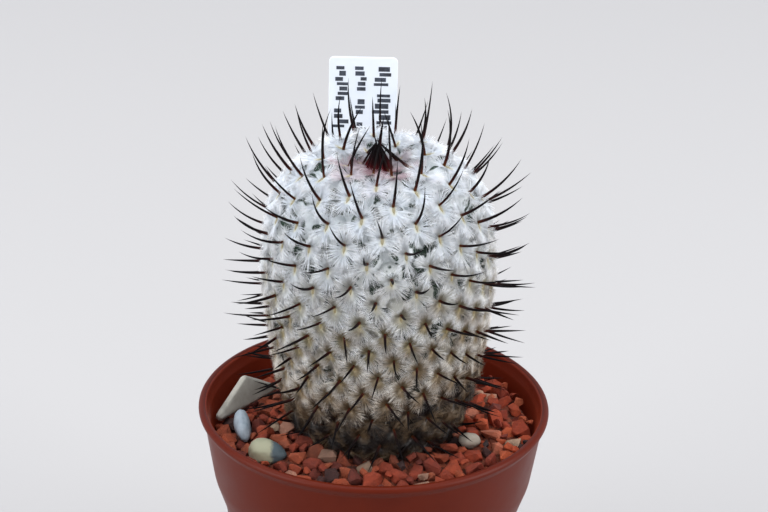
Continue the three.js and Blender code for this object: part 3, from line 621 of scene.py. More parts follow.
# %% The tree, last part: one needle, and its copies
# The needle has three sides. Its middle ring, if it has one, is pushed up and out, and the needle
# bends. Loose tips keep the colour that they would have as the end of a whole spine.
START_ALONG, BELLY_RISE, BELLY_WIDTH = 0.25, 0.5, 2.6
cone = add(tree, "GeometryNodeMeshCone", {
    "Vertices": 3, "Side Segments": given["Steps"], "Radius Bottom": given["Thickness"],
    "Radius Top": 0.0, "Depth": 1.0,
}, fill_type="NGON")
axes = add(tree, "ShaderNodeSeparateXYZ", {"Vector": where})
across_x, across_y, up = (axes.outputs[k] for k in "XYZ")
along = add(tree, "ShaderNodeMath", {0: given["Start"], 1: START_ALONG, 2: up}, operation="MULTIPLY_ADD")
marked = add(tree, "GeometryNodeStoreNamedAttribute", {
    "Geometry": cone, "Name": "along", "Value": along,
}, data_type="FLOAT", domain="POINT")
left = add(tree, "ShaderNodeMath", {0: 1.0, 1: up}, operation="SUBTRACT")
belly = add(tree, "ShaderNodeMath", {0: left, 1: up}, operation="MULTIPLY")
rise = add(tree, "ShaderNodeMath", {0: belly, 1: BELLY_RISE, 2: up}, operation="MULTIPLY_ADD")
fuller = add(tree, "ShaderNodeMath", {0: belly, 1: BELLY_WIDTH, 2: 1.0}, operation="MULTIPLY_ADD")
squared = add(tree, "ShaderNodeMath", {0: rise, 1: rise}, operation="MULTIPLY")
bent = add(tree, "ShaderNodeMath", {0: squared, 1: given["Recurve"]}, operation="MULTIPLY")
full_x = add(tree, "ShaderNodeMath", {0: across_x, 1: fuller}, operation="MULTIPLY")
full_y = add(tree, "ShaderNodeMath", {0: across_y, 1: fuller}, operation="MULTIPLY")
back = add(tree, "ShaderNodeMath", {0: full_x, 1: bent}, operation="SUBTRACT")
shape = add(tree, "ShaderNodeCombineXYZ", {"X": back, "Y": full_y, "Z": rise})
needle = add(tree, "GeometryNodeSetPosition", {"Geometry": marked, "Position": shape})
rooted = add(tree, "GeometryNodeSetPosition", {"Geometry": tinted, "Offset": root_shift})
spines = add(tree, "GeometryNodeInstanceOnPoints", {
    "Points": rooted, "Instance": needle, "Rotation": stand, "Scale": length,
})
end_tree(tree, spines, given["Material"])
print("nodes in the whole tree:", len(tree.nodes))

# %% Layers of the coat: two flat on the skin, two raised like shallow bowls, and a fringe of tips
REACH_BY_AGE = [0.0, 0.4, 0.7, 1.0], [1.0, 0.97, 1.05, 1.2]  # the oldest spines are the longest
reach = column("size") * np.interp(ages, *REACH_BY_AGE) * MM
PINK_MIDDLE, PINK_FADE = (-0.4, -2.5), (2.0, 8.2)  # painted shade and red reflection, centred in front of the tent of unopened spines
youngest = [1 - smoothstep(*PINK_FADE, math.dist(place[:2], PINK_MIDDLE)) for place in column("place")]
FLAT = {"Spines each": 110, "Steps": 1, "Thickness": 0.016}
LAYERS = {
    "cactus_coat_flat": {"Lift": 0.04, "Lift spread": 0.06, "Seed": 0, **FLAT},
    "cactus_coat_low": {"Lift": 0.15, "Lift spread": 0.1, "Seed": 20, **FLAT},
    "cactus_coat_high": {"Lift": 0.15, "Lift spread": 0.07, "Seed": 40, "Length": 2.9, "Recurve": -0.1},
    "cactus_coat_top": {
        "Lift": 0.19, "Lift spread": 0.07, "Seed": 60, "Length": 2.7, "Recurve": -0.15,
        "Spines each": 50,
    },
    "cactus_coat_fringe": {
        "Lift": 0.21, "Lift spread": 0.06, "Seed": 80, "Length": 0.8, "Start": 2.3, "Stray": 0.3,
        "Spines each": 160, "Steps": 1, "Thickness": 0.03,
    },
}
for name, sizes in LAYERS.items():
    points = point_mesh(name + "_points", areole_places, reach=reach, youngest=youngest, **tubercle_values)
    finish_piece(grow(name, points, tree, {**RADIAL_SIZES, **sizes}), "cactus")

# %% [markdown]
# ## What the central spines keep clear of
# One long dark spine stands on each tubercle. Where it would meet the label, the chips or a loose
# stone, it has grown past it, so the places of those come first. They are the CAD model's.

# %% The label, the chips' surface and the loose stones
LABEL_PLACE, LABEL_LEAN_BACK = (-2.85, 22.3, 47), math.radians(5.5)
LABEL_WIDTH, LABEL_THICKNESS = 11.0, 0.6
DRESSING_AT_WALL, DRESSING_AT_STEM, DRESSING_HEAP = 44.6, 46.3, 1.8
FALL_BAND, HEAP_BAND = (14, 25), (12, 21)  # from the axis, and to the right of it
LABEL_GAP, CHIP_GAP, STONE_GAP = 0.9, 1.3, 0.7
# Centre, half sizes, turn about Z and tip from flat in degrees
STONES = {
    "stone_white_oblong": ((-20.5, -2.4, 46.2), (1.35, 3.2, 1.6), 10, 14),
    "stone_two_tone": ((-16.2, -9.6, 45.7), (3.0, 2.2, 1.9), -12, 0),
    "stone_pale_flake": ((-20.0, 6.2, 47.0), (7.2, 3.0, 0.75), 48, 62),
    "stone_pale_right": ((15.0, -6.2, 46.6), (1.7, 1.5, 1.2), 20, 0),
}
label_turn = Matrix.Rotation(-LABEL_LEAN_BACK, 4, "X")
label_inverse = (Matrix.Translation(LABEL_PLACE) @ label_turn).inverted()


def stone_frame(name):
    at, _, turn, tip = STONES[name]
    turned_to = Matrix.Rotation(math.radians(turn), 4, "Z")
    return Matrix.Translation(at) @ turned_to @ Matrix.Rotation(math.radians(tip), 4, "X")


stone_inverses = {name: stone_frame(name).inverted() for name in STONES}


def dressing_height(x, y):
    """It falls towards the wall, and is heaped up against it on the right"""
    fall = (DRESSING_AT_WALL - DRESSING_AT_STEM) * smoothstep(*FALL_BAND, math.hypot(x, y))
    return DRESSING_AT_STEM + fall + DRESSING_HEAP * smoothstep(*HEAP_BAND, x)


def meets_stone(point, gap):
    """Whether a point is inside a loose stone, or nearer to one than the gap"""
    for name, (_, half, _, _) in STONES.items():
        local = stone_inverses[name] @ point
        if math.hypot(*(local[k] / (half[k] + gap) for k in range(3))) <= 1:
            return True
    return False


def is_clear(point):
    """Whether a point keeps away from the label, the chips and the loose stones"""
    point = Vector(point)
    on_label = label_inverse @ point
    if abs(on_label.x) <= LABEL_WIDTH / 2 + LABEL_GAP and on_label.y > -LABEL_THICKNESS / 2 - LABEL_GAP:
        return False
    return point.z >= dressing_height(point.x, point.y) + CHIP_GAP and not meets_stone(point, STONE_GAP)


print("chips", DRESSING_AT_WALL, "mm up at the wall, and", len(STONES), "loose stones")

# %% [markdown]
# ## Central spines
# Each dark spine curls a little towards the crown. At the crown the youngest ones are not open yet
# and lean together in a pointed bunch. Each is an arc, so the tree starts from a straight cone and
# turns every ring of it about the arc's centre by its share of the curl, which bends the cone and
# keeps its rings square to it.

# %% Which way each central spine goes
# The youngest few stand in a bunch: how many, how high, and where its point is and how loose
CROWN_BUNCH, BUNCH_HEIGHT, BUNCH_X, BUNCH_SPREAD, BUNCH_CURL = 9, 4.8, -0.4, 0.3, 0.12
TALLEST_SHARE, BUNCH_LENGTH_SPREAD = 1.55, 0.2
# Lengths in millimetres, and bands of arc length from the crown in which spines change
SPINE_SHORT, SPINE_LONG, SHORTER_BAND, FREE_BAND = 5.9, 8.8, (12, 34), (2, 12)
SPINE_RISE, SPINE_CURL, LEAST_CURL, CURL_LOST_WITH_AGE = math.radians(6), math.radians(24), 0.08, 0.8
LENGTH_SPREAD, OLD_LENGTH_SPREAD, ASIDE_SPREAD, OLD_ASIDE_SPREAD = 0.16, 0.12, 0.15, 0.25
RISE_SPREAD, CURL_SPREAD, BEND_SPREAD = 0.16, 0.2, 0.5
# A spine that isn't clear rises step by step; these parts of its length are tested
RISE_STEP, MOST_RISE, TESTED_PARTS = 0.12, 1.4, (0.35, 0.5, 0.65, 0.8, 1)
crown_height = outline[0, HEIGHT] + BUNCH_HEIGHT


def new_spine(root, direction, towards, curl, length):
    """A spine that leaves its root in one direction and curls towards another"""
    bend = square_to(direction, towards)
    return {"root": root, "direction": direction, "bend": bend, "curl": curl, "length": length}


def spine_point(spine, t):
    turn = spine["curl"] * t
    ahead, aside = math.sin(turn) / spine["curl"], (1 - math.cos(turn)) / spine["curl"]
    return spine["root"] + spine["length"] * (spine["direction"] * ahead + spine["bend"] * aside)


def bunched_spine(t):
    n, root = t["n"], t["place"]
    goal = np.array([BUNCH_X + BUNCH_SPREAD * spread(n, 1), BUNCH_SPREAD * spread(n, 2), crown_height])
    share = TALLEST_SHARE if n == 0 else 1 + BUNCH_LENGTH_SPREAD * draw(n, 3)
    return new_spine(root, unit(goal - root), t["sideways"], BUNCH_CURL, BUNCH_HEIGHT * share)


def open_spine(t):
    n, sideways = t["n"], t["sideways"]
    youth, free = 1 - smoothstep(*SHORTER_BAND, t["arc"]), smoothstep(*FREE_BAND, t["arc"])
    age = smoothstep(*OLD_BAND, t["arc"])
    length = SPINE_SHORT + (SPINE_LONG - SPINE_SHORT) * youth
    length *= 1 + (LENGTH_SPREAD + OLD_LENGTH_SPREAD * age) * spread(n, 3)
    curl = LEAST_CURL + (SPINE_CURL * (1 - CURL_LOST_WITH_AGE * age) + CURL_SPREAD * spread(n, 6)) * free
    aside = (ASIDE_SPREAD + OLD_ASIDE_SPREAD * age) * spread(n, 5)
    rise = (SPINE_RISE * (1 - age) + RISE_SPREAD * spread(n, 4)) * free
    towards = t["crownward"] + sideways * BEND_SPREAD * spread(n, 7)
    while True:
        direction = unit(t["outward"] + t["crownward"] * math.tan(rise) + sideways * aside)
        spine = new_spine(t["place"], direction, towards, curl, length)
        tested = in_pot([spine_point(spine, part) for part in TESTED_PARTS])
        rise += RISE_STEP
        if rise >= MOST_RISE or all(is_clear(point) for point in tested):
            return spine


central = [bunched_spine(t) if t["n"] < CROWN_BUNCH else open_spine(t) for t in tubercles]
print(len(central), "central spines, the longest", round(max(s["length"] for s in central), 1), "mm")

# %% The tent of unopened spines in the sunken crown, with one that stands out as its point
TENT_SPINES, TENT_RADIUS, TENT_FOOT, TENT_SPREAD, TENT_CURL = 56, 2.3, 42.1, 0.12, 0.1
TENT_SHORTEST, TENT_LENGTH_SPREAD = 0.75, 0.3
POINT_LENGTH, POINT_LEAN, POINT_STOUT, TENT_STOUT = 9.2, 0.05, 1.7, 1.2
tent = []
for k in range(TENT_SPINES):
    out, azimuth = TENT_RADIUS * math.sqrt((k + 0.5) / TENT_SPINES), k * GOLDEN_ANGLE
    root = np.array([BUNCH_X / 2 + out * math.cos(azimuth), out * math.sin(azimuth), TENT_FOOT])
    top = np.array([BUNCH_X + TENT_SPREAD * spread(k, 80), TENT_SPREAD * spread(k, 81), crown_height])
    length = np.linalg.norm(top - root) * (TENT_SHORTEST + TENT_LENGTH_SPREAD * draw(k, 82))
    tent.append(new_spine(root, unit(top - root), np.array([0.0, 0.0, 1.0]), TENT_CURL, length))
upward, to_right = unit(np.array([POINT_LEAN, 0.0, 1.0])), np.array([1.0, 0.0, 0.0])
tent.append(new_spine(np.array([BUNCH_X, 0.0, TENT_FOOT]), upward, to_right, TENT_CURL, POINT_LENGTH))
print(len(tent), "unopened spines")

# %% Materials: horn-like spines, orange-brown at the root, then maroon and black; young ones redder
# Roughness, specular level, and colours from root to tip
HORN = {
    "central_spine_dark": (0.55, 0.06, [
        (0.0, "#6E4420"), (0.05, "#4E2616"), (0.13, "#2C1210"), (0.28, "#140C0C"), (0.6, "#0A0809"),
    ]),
    "young_spine_maroon": (0.6, 0.05, [
        (0.0, "#8A3F44"), (0.2, "#521418"), (0.42, "#240A0C"), (0.7, "#0C0708"),
    ]),
}
horn = []
for name, (roughness, specular, stops) in HORN.items():
    constants = {"Roughness": roughness, "IOR": 1.5, "Specular IOR Level": specular}
    material, tree, shader, own = new_material(name, constants, ["along"])
    wire(tree, shader, {"Base Color": add(tree, "ShaderNodeValToRGB", {"Fac": own["along"]}, stops=stops)})
    horn.append(material)
print([material.name for material in horn])

# %% Arcs from cones
SPINE_SIZES = {"Thickness": 0.215 * MM, "Sides": 6, "Rings": 8, "Material": horn[0]}
tree, given, own = new_tree(
    "central_spines", SPINE_SIZES, ["length", "curl", "stout"], ["direction", "bend", "root", "ring"]
)
cone = add(tree, "GeometryNodeMeshCone", {
    "Vertices": given["Sides"], "Side Segments": given["Rings"], "Radius Bottom": 1.0, "Radius Top": 0.0,
    "Depth": 1.0,
}, fill_type="NGON")
# The cone's points keep their place on it as "ring", and each spine's point keeps its own as "root"
where = add(tree, "GeometryNodeInputPosition")
straight = add(tree, "GeometryNodeStoreNamedAttribute", {
    "Geometry": cone, "Name": "ring", "Value": where,
}, data_type="FLOAT_VECTOR", domain="POINT")
rooted = add(tree, "GeometryNodeStoreNamedAttribute", {
    "Geometry": given["Geometry"], "Name": "root", "Value": where,
}, data_type="FLOAT_VECTOR", domain="POINT")
placed = add(tree, "GeometryNodeInstanceOnPoints", {"Points": rooted, "Instance": straight})
real = add(tree, "GeometryNodeRealizeInstances", {"Geometry": placed})
ring = add(tree, "ShaderNodeSeparateXYZ", {"Vector": own["ring"]})
across_x, across_y, up = (ring.outputs[k] for k in "XYZ")
marked = add(tree, "GeometryNodeStoreNamedAttribute", {
    "Geometry": real, "Name": "along", "Value": up,
}, data_type="FLOAT", domain="POINT")
# A real spine keeps its thickness longer than a cone: its rings times 1 + t give 1 - t^2
fuller = add(tree, "ShaderNodeMath", {0: up, 1: 1.0}, operation="ADD")
stout = add(tree, "ShaderNodeMath", {0: given["Thickness"], 1: own["stout"]}, operation="MULTIPLY")
thick = add(tree, "ShaderNodeMath", {0: stout, 1: fuller}, operation="MULTIPLY")
ring_x = add(tree, "ShaderNodeMath", {0: across_x, 1: thick}, operation="MULTIPLY")
ring_y = add(tree, "ShaderNodeMath", {0: across_y, 1: thick}, operation="MULTIPLY")
side = add(tree, "ShaderNodeVectorMath", {0: own["direction"], 1: own["bend"]}, operation="CROSS_PRODUCT")
arc_radius = add(tree, "ShaderNodeMath", {0: own["length"], 1: own["curl"]}, operation="DIVIDE")
along_bend, centre = (
    add(tree, "ShaderNodeVectorMath", {0: own["bend"], 1: far, 2: own["root"]}, operation="MULTIPLY_ADD")
    for far in (ring_x, arc_radius)
)
at_root = add(tree, "ShaderNodeVectorMath", {0: side, 1: ring_y, 2: along_bend}, operation="MULTIPLY_ADD")
swing = add(tree, "ShaderNodeMath", {0: own["curl"], 1: up}, operation="MULTIPLY")
swept = add(tree, "ShaderNodeVectorRotate", {
    "Vector": at_root, "Center": centre, "Axis": side, "Angle": swing,
}, rotation_type="AXIS_ANGLE")
arcs = add(tree, "GeometryNodeSetPosition", {"Geometry": marked, "Position": swept})
end_tree(tree, arcs, given["Material"])
print("nodes in the tree:", len(tree.nodes))


# %% Both kinds of dark spines
THINNEST, STOUT_SPREAD = 0.85, 0.3


def spine_points(name, spines, stout):
    values = {key: [s[key] for s in spines] for key in spines[0]}
    return point_mesh(
        name, in_pot(values["root"]), stout=stout, curl=values["curl"],
        direction=as_turned(values["direction"]), bend=as_turned(values["bend"]),
        length=np.array(values["length"]) * MM,
    )


stout = [THINNEST + STOUT_SPREAD * draw(t["n"], 40) for t in tubercles]
central_points = spine_points("central_points", central, stout)
tent_points = spine_points("tent_points", tent, [TENT_STOUT] * TENT_SPINES + [POINT_STOUT])
for name, points, material in [
    ("cactus_central_spines", central_points, horn[0]), ("cactus_crown_spines", tent_points, horn[1]),
]:
    finish_piece(grow(name, points, tree, {**SPINE_SIZES, "Material": material}), "cactus")

# %% [markdown]
# ## The pot
# A small injection-moulded nursery pot: a thin tapered wall with a collar, a rounded lip that
# stacks on the next pot, a foot ring and five drain holes. It is round, so its profile is turned
# about the axis, with every corner of the profile rounded as a mould leaves it, and the holes are
# cut afterwards.

# %% Material: polypropylene, moulded: an even satin surface with faint scuffs and lime dust
pot_plastic, tree, shader, own = new_material(
    "polypropylene_moulded", {"IOR": 1.49, "Specular IOR Level": 0.12}, ["place"]
)
dust = add(tree, "ShaderNodeTexNoise", {
    "Vector": own["place"], "Scale": 1 / (9 * MM), "Detail": 6.0, "Roughness": 0.6,
})
tone = add(tree, "ShaderNodeValToRGB", {"Fac": dust}, stops=[
    (0.3, "#4A1203"), (0.6, "#501504"), (0.8, "#58200E"),
])
# Watering leaves a paler film on the inner side above the stones: there the middle of the wall is
# 25.6 mm from the axis at 44 mm up, and 26.5 mm at the rim
split = add(tree, "ShaderNodeSeparateXYZ", {"Vector": own["place"]})
up = split.outputs["Z"]
flat = add(tree, "ShaderNodeVectorMath", {0: own["place"], 1: (1.0, 1.0, 0.0)}, operation="MULTIPLY")
radius = add(tree, "ShaderNodeVectorMath", {0: flat}, operation="LENGTH")
mid_wall = add(tree, "ShaderNodeMapRange", {
    "Value": up, "From Min": 44 * MM, "From Max": 50 * MM, "To Min": 25.6 * MM, "To Max": 26.5 * MM,
})
is_inner = add(tree, "ShaderNodeMath", {0: radius, 1: mid_wall}, operation="LESS_THAN")
above = add(tree, "ShaderNodeMapRange", {"Value": up, "From Min": 42 * MM, "From Max": 43.5 * MM})
filmed = add(tree, "ShaderNodeMath", {0: is_inner, 1: above}, operation="MULTIPLY")
colour = add(tree, "ShaderNodeMix", {"Factor": filmed, "A": tone, "B": linear("#7A2A16")}, data_type="RGBA")
gloss = add(tree, "ShaderNodeMapRange", {
    "Value": dust, "From Min": 0.3, "From Max": 0.75, "To Min": 0.34, "To Max": 0.5,
})
mould_grain = relief(tree, own["place"], grain=0.25, depth=0.05, strength=0.12, Detail=3.0)
wire(tree, shader, {"Base Color": colour, "Roughness": gloss, "Normal": mould_grain})
print(pot_plastic.name)

# %% Profile of the pot, turned
# From the middle of the underside round the foot, wall and lip to the middle of the floor inside
POT_HEIGHT, BASE_RADIUS, FLOOR_UNDERSIDE, WALL = 50.0, 18.6, 1.2, 1.0
FOOT_RING_WIDTH, FOOT_DRAFT, LIP_RADIUS, RIM_RADIUS, COLLAR_RADIUS = 1.8, 0.3, 0.65, 27.5, 27.0
STEP_LOW, STEP_TOP = (23.4, 33), (25.1, 38)  # radius and height where the collar steps out
STEP_ROUNDING, FOOT_ROUNDING, BASE_ROUNDING, INSIDE_ROUNDING, LIP_ROUNDING = 0.8, 0.3, 0.7, 0.6, 0.25
OUTER_WALL = [(0, BASE_RADIUS), STEP_LOW[::-1], STEP_TOP[::-1], (POT_HEIGHT, COLLAR_RADIUS)]
POT_SIDES = 256
LIP_DEGREES = range(-30, 181, 14)  # where the points of the lip's bead are, from straight out


def outer_radius(z):
    return float(np.interp(z, *zip(*OUTER_WALL)))


def rounded(corners, steps=5):
    """A profile with each corner (r, z, radius) replaced by an arc"""
    made = []
    for k, (r, z, radius) in enumerate(corners):
        if radius == 0:
            made.append((r, z))
            continue
        here = np.array([r, z])
        before, after = np.array(corners[k - 1][:2]), np.array(corners[k + 1][:2])
        a, b = here + unit(before - here) * radius, here + unit(after - here) * radius
        for j in range(steps + 1):
            t = j / steps
            made.append(tuple((1 - t) ** 2 * a + 2 * t * (1 - t) * here + t * t * b))
    return made


under_lip = POT_HEIGHT - 3 * LIP_RADIUS
floor_top = FLOOR_UNDERSIDE + WALL
inside_foot = BASE_RADIUS - FOOT_RING_WIDTH
lip_middle, lip_centre = RIM_RADIUS - LIP_RADIUS, POT_HEIGHT - LIP_RADIUS
lip = []  # a bead, from under its outer side over the top to its inner side
for degrees in LIP_DEGREES:
    a = math.radians(degrees)
    lip.append((lip_middle + LIP_RADIUS * math.cos(a), lip_centre + LIP_RADIUS * math.sin(a), 0))
profile = rounded([
    (0, FLOOR_UNDERSIDE, 0), (inside_foot - FOOT_DRAFT, FLOOR_UNDERSIDE, FOOT_ROUNDING),
    (inside_foot, 0, FOOT_ROUNDING), (BASE_RADIUS, 0, BASE_ROUNDING),
    (*STEP_LOW, STEP_ROUNDING), (*STEP_TOP, STEP_ROUNDING),
    (outer_radius(under_lip), under_lip, LIP_ROUNDING), *lip,
    (outer_radius(under_lip) - WALL, under_lip, LIP_ROUNDING),
    (STEP_TOP[0] - WALL, STEP_TOP[1], STEP_ROUNDING), (STEP_LOW[0] - WALL, STEP_LOW[1], STEP_ROUNDING),
    (outer_radius(floor_top) - WALL, floor_top, INSIDE_ROUNDING), (0, floor_top, 0),
])
pot = mesh_piece("pot_shell", *turned(profile, POT_SIDES), pot_plastic)
print("profile of", len(profile), "points")

# %% Five drain holes: four in a circle and one in the middle
DRAIN_RADIUS, DRAIN_CIRCLE, DRILL_LENGTH, DRILL_SIDES = 2.0, 11.5, 10, 48
SHARPEST_SMOOTH = math.radians(40)  # edges that turn more than this are shaded sharp
for k in range(5):
    angle, out = math.pi / 4 + k * math.pi / 2, DRAIN_CIRCLE if k < 4 else 0
    centre = Vector((math.cos(angle) * out, math.sin(angle) * out, 0)) * MM
    bpy.ops.mesh.primitive_cylinder_add(
        vertices=DRILL_SIDES, radius=DRAIN_RADIUS * MM, depth=DRILL_LENGTH * MM, location=centre
    )
    drill = bpy.context.object
    cut = pot.modifiers.new("drain", "BOOLEAN")
    cut.object, cut.operation, cut.solver = drill, "DIFFERENCE", "EXACT"
    settle(pot)
    bpy.data.objects.remove(drill)
pot.data.set_sharp_from_angle(angle=SHARPEST_SMOOTH)
finish_piece(pot, "pot")

# %% [markdown]
# ## The potting mix
# Under the stones the pot is full of a dark gritty mix, which only shows through the drain holes.
# The CAD solid is shaped to the pot already, so it stays and only gets a material: crumbs of bark
# and grit, drawn as cells of a millimetre that bulge, with a finer noise over them.


# %% Material: potting mix, matt dark crumbs with pale grit
def crumbs(tree, place, grain, stops):
    """Crumbs of so many millimetres: the colour of each, and how far a place is from its middle"""
    cells = add(tree, "ShaderNodeTexVoronoi", {"Vector": place, "Scale": 1 / (grain * MM)}, feature="F1")
    tone = add(tree, "ShaderNodeValToRGB", {"Fac": cells.outputs["Color"]}, stops=stops)
    return tone, cells.outputs["Distance"]


mix_crumbs, tree, shader, own = new_material("potting_mix_crumbs", {"Roughness": 0.95}, ["place"])
tone, far = crumbs(tree, own["place"], 1.2, [
    (0.0, "#241811"), (0.45, "#3A2A1E"), (0.75, "#4E3B2B"), (0.95, "#8C8070"),
])
fine = add(tree, "ShaderNodeTexNoise", {"Vector": own["place"], "Scale": 1 / (0.3 * MM), "Detail": 5.0})
height = add(tree, "ShaderNodeMath", {0: far, 1: -1.5, 2: fine}, operation="MULTIPLY_ADD")
bump = add(tree, "ShaderNodeBump", {"Height": height, "Strength": 1.0, "Distance": 0.5 * MM})
wire(tree, shader, {"Base Color": tone, "Normal": bump})
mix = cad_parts["potting_mix"]
mix.data.materials.clear()
mix.data.materials.append(mix_crumbs)
print(mix_crumbs.name)

# %% [markdown]
# ## Top dressing: crushed red stone
# Broken chips of 2 to 5 millimetres lie over the mix, at all angles, with dark gaps between them.
# Chips are broken lumps, so each kind is the convex hull of points thrown on a flattened ball. A
# physics drop would place them well but is slow and hard to repeat. Places are drawn by a rule
# instead: big chips first, then smaller ones into the gaps, none into the stem, wall or stones.

# %% Material: crushed stone, fired and matt, from dark red through orange to salmon and beige
# Each chip has a colour of its own, with patches of 1.6 mm, and a gritty broken surface
red_stone, tree, shader, own = new_material(
    "crushed_red_stone", {"Roughness": 0.85}, ["place", "tint", "dry"]
)
tone = add(tree, "ShaderNodeValToRGB", {"Fac": own["tint"]}, stops=[
    (0.0, "#1C1C1E"), (0.03, "#4A2018"), (0.1, "#732816"), (0.3, "#8A3319"), (0.5, "#98391B"),
    (0.75, "#A14623"), (0.9, "#A65536"), (0.96, "#B0705A"), (0.99, "#A89078"),
])
patches = add(tree, "ShaderNodeTexNoise", {
    "Vector": own["place"], "Scale": 1 / (1.6 * MM), "Detail": 5.0, "Roughness": 0.65,
})
shade = add(tree, "ShaderNodeMapRange", {
    "Value": patches, "From Min": 0.3, "From Max": 0.7, "To Min": 0.6, "To Max": 1.15,
})
# The patches are scaled by each chip's paleness, which also holds the painted shade of the stem on the chips
# in front of it
shaded = add(tree, "ShaderNodeMath", {0: shade, 1: own["dry"]}, operation="MULTIPLY")
colour = add(tree, "ShaderNodeVectorMath", {0: tone, "Scale": shaded}, operation="SCALE")
grit = relief(tree, own["place"], grain=0.35, depth=0.25, strength=0.8, Detail=6.0, Roughness=0.7)
wire(tree, shader, {"Base Color": colour, "Normal": grit})
print(red_stone.name)

# %% Places of the chips
# For each layer: how far above the surface its chips lie, its largest and smallest chip, and tries
CHIP_LAYERS = [(0.0, 2.1, 1.5, 2640), (-0.3, 1.7, 1.1, 4080), (0.15, 1.2, 0.8, 6000)]
CHIP_RING = (11.5, 25.2)  # thrown between these distances from the axis
STEM_AT_SOIL = 12.6  # the stem's radius there, with its tubercles
CHIP_SINK, CHIP_UNEVENNESS = 0.3, 0.3
# The share of its size that a chip keeps clear of each
WALL_SHARE, STEM_SHARE, LABEL_SHARE, STONE_SHARE, CHIP_SHARE = 0.85, 0.75, 0.7, 0.55, 0.64
rng = np.random.default_rng(11)


def from_stem(x, y):
    return math.hypot(x - PLANT_PLACE[0], y - PLANT_PLACE[1]) - STEM_AT_SOIL


def chip_is_free(x, y, z, size, placed):
    if math.hypot(x, y) + WALL_SHARE * size > outer_radius(z) - WALL:
        return False
    if from_stem(x, y) < STEM_SHARE * size:
        return False
    on_label, gap = label_inverse @ Vector((x, y, z)), LABEL_SHARE * size
    if abs(on_label.x) < LABEL_WIDTH / 2 + gap and abs(on_label.y) < LABEL_THICKNESS / 2 + gap:
        return False
    if meets_stone(Vector((x, y, z)), STONE_SHARE * size):
        return False
    return all(math.dist((x, y, z), p) > CHIP_SHARE * (size + s) for p, s in placed)


chips = []
for raised, largest, smallest, tries in CHIP_LAYERS:
    for k in range(tries):
        r = math.sqrt(rng.uniform(CHIP_RING[0] ** 2, CHIP_RING[1] ** 2))
        a = rng.uniform(0, 2 * math.pi)
        size = largest - (largest - smallest) * k / tries
        x, y = r * math.cos(a), r * math.sin(a)
        uneven = rng.uniform(-CHIP_UNEVENNESS, CHIP_UNEVENNESS)
        z = dressing_height(x, y) + raised - CHIP_SINK * size + uneven
        if chip_is_free(x, y, z, size, chips):
            chips.append(((x, y, z), size))
print(len(chips), "chips")

# %% Chips from hulls of scattered points
CHIP_SIZES = {"Corners": 15, "Material": red_stone}
CHIP_KINDS, FIRST_KIND_SEED, MOST_TIP = 10, 20, 0.6
CHIP_WIDTH, CHIP_HEIGHT, CHIP_VARIES = 0.62, 0.45, 0.3
SIDE_PALENESS, SIDE_PALENESS_BAND = (0.8, 1.25), (0, 20)  # the chips at the right and back are paler
# Those in front of the stem are darker close to it: damp, and the painted shade of the stem over them
DAMP_AND_SHADE, DAMP_AND_SHADE_REACH, FRONT_BAND = 0.6, (2.2, 4.2), (4, 10)


def paleness_and_shade_at(x, y):
    side = SIDE_PALENESS[0] + (SIDE_PALENESS[1] - SIDE_PALENESS[0]) * smoothstep(*SIDE_PALENESS_BAND, x + y / 2)
    damp_and_shade = smoothstep(*FRONT_BAND, -y) * (1 - smoothstep(*DAMP_AND_SHADE_REACH, from_stem(x, y)))
    return side * (1 - (1 - DAMP_AND_SHADE) * damp_and_shade)


chip_points = point_mesh(
    "chip_points",
    [p for p, _ in chips],
    size=[s * MM for _, s in chips],
    tint=rng.uniform(0, 1, len(chips)),
    dry=[paleness_and_shade_at(x, y) for (x, y, _), _ in chips],
    turn=rng.uniform(-1, 1, (len(chips), 3)) * np.array([MOST_TIP, MOST_TIP, math.pi]),
)
tree, given, own = new_tree("stone_chips", CHIP_SIZES, ["size"], ["turn"])
kinds = add(tree, "GeometryNodeJoinGeometry")
for kind in range(CHIP_KINDS):
    thrown = add(tree, "FunctionNodeRandomValue", {
        "Min": (-1.0, -1.0, -1.0), "Max": (1.0, 1.0, 1.0), "Seed": FIRST_KIND_SEED + kind,
    }, data_type="FLOAT_VECTOR")
    on_ball = add(tree, "ShaderNodeVectorMath", {0: thrown}, operation="NORMALIZE")
    width, height = CHIP_WIDTH + CHIP_VARIES * draw(kind, 50), CHIP_HEIGHT + CHIP_VARIES * draw(kind, 51)
    flattened = add(tree, "ShaderNodeVectorMath", {
        0: on_ball, 1: (1.0, width, height),
    }, operation="MULTIPLY")
    corners = add(tree, "GeometryNodePoints", {"Count": given["Corners"], "Position": flattened})
    hull = add(tree, "GeometryNodeConvexHull", {"Geometry": corners})
    wire(tree, kinds, {0: add(tree, "GeometryNodeGeometryToInstance", {"Geometry": hull})})
turn = add(tree, "FunctionNodeEulerToRotation", {"Euler": own["turn"]})
laid = add(tree, "GeometryNodeInstanceOnPoints", {
    "Points": given["Geometry"], "Instance": kinds, "Pick Instance": True, "Rotation": turn,
    "Scale": own["size"],
})
end_tree(tree, laid, given["Material"], smooth=False)
finish_piece(grow("dressing_chips", chip_points, tree, CHIP_SIZES), "top_dressing")

# %% [markdown]
# ## The bed under the chips
# Crumbs and dust of the same stone sift down between the chips and close the gaps. They are too
# fine to lay one by one, and show only in the gaps. So the bed is one closed disc, turned as the
# pot is, with a slightly uneven top, and its material draws the crumbs.

# %% Material: stone crumbs and dust, dark red-brown and matt
bed_dark, tree, shader, own = new_material("stone_crumbs_dark", {"Roughness": 0.95}, ["place"])
tone, far = crumbs(tree, own["place"], 0.9, [(0.0, "#3A1C12"), (0.5, "#662E1B"), (0.9, "#8A4228")])
bump = add(tree, "ShaderNodeBump", {"Height": far, "Strength": 1.0, "Distance": 0.5 * MM}, invert=True)
wire(tree, shader, {"Base Color": tone, "Normal": bump})
print(bed_dark.name)

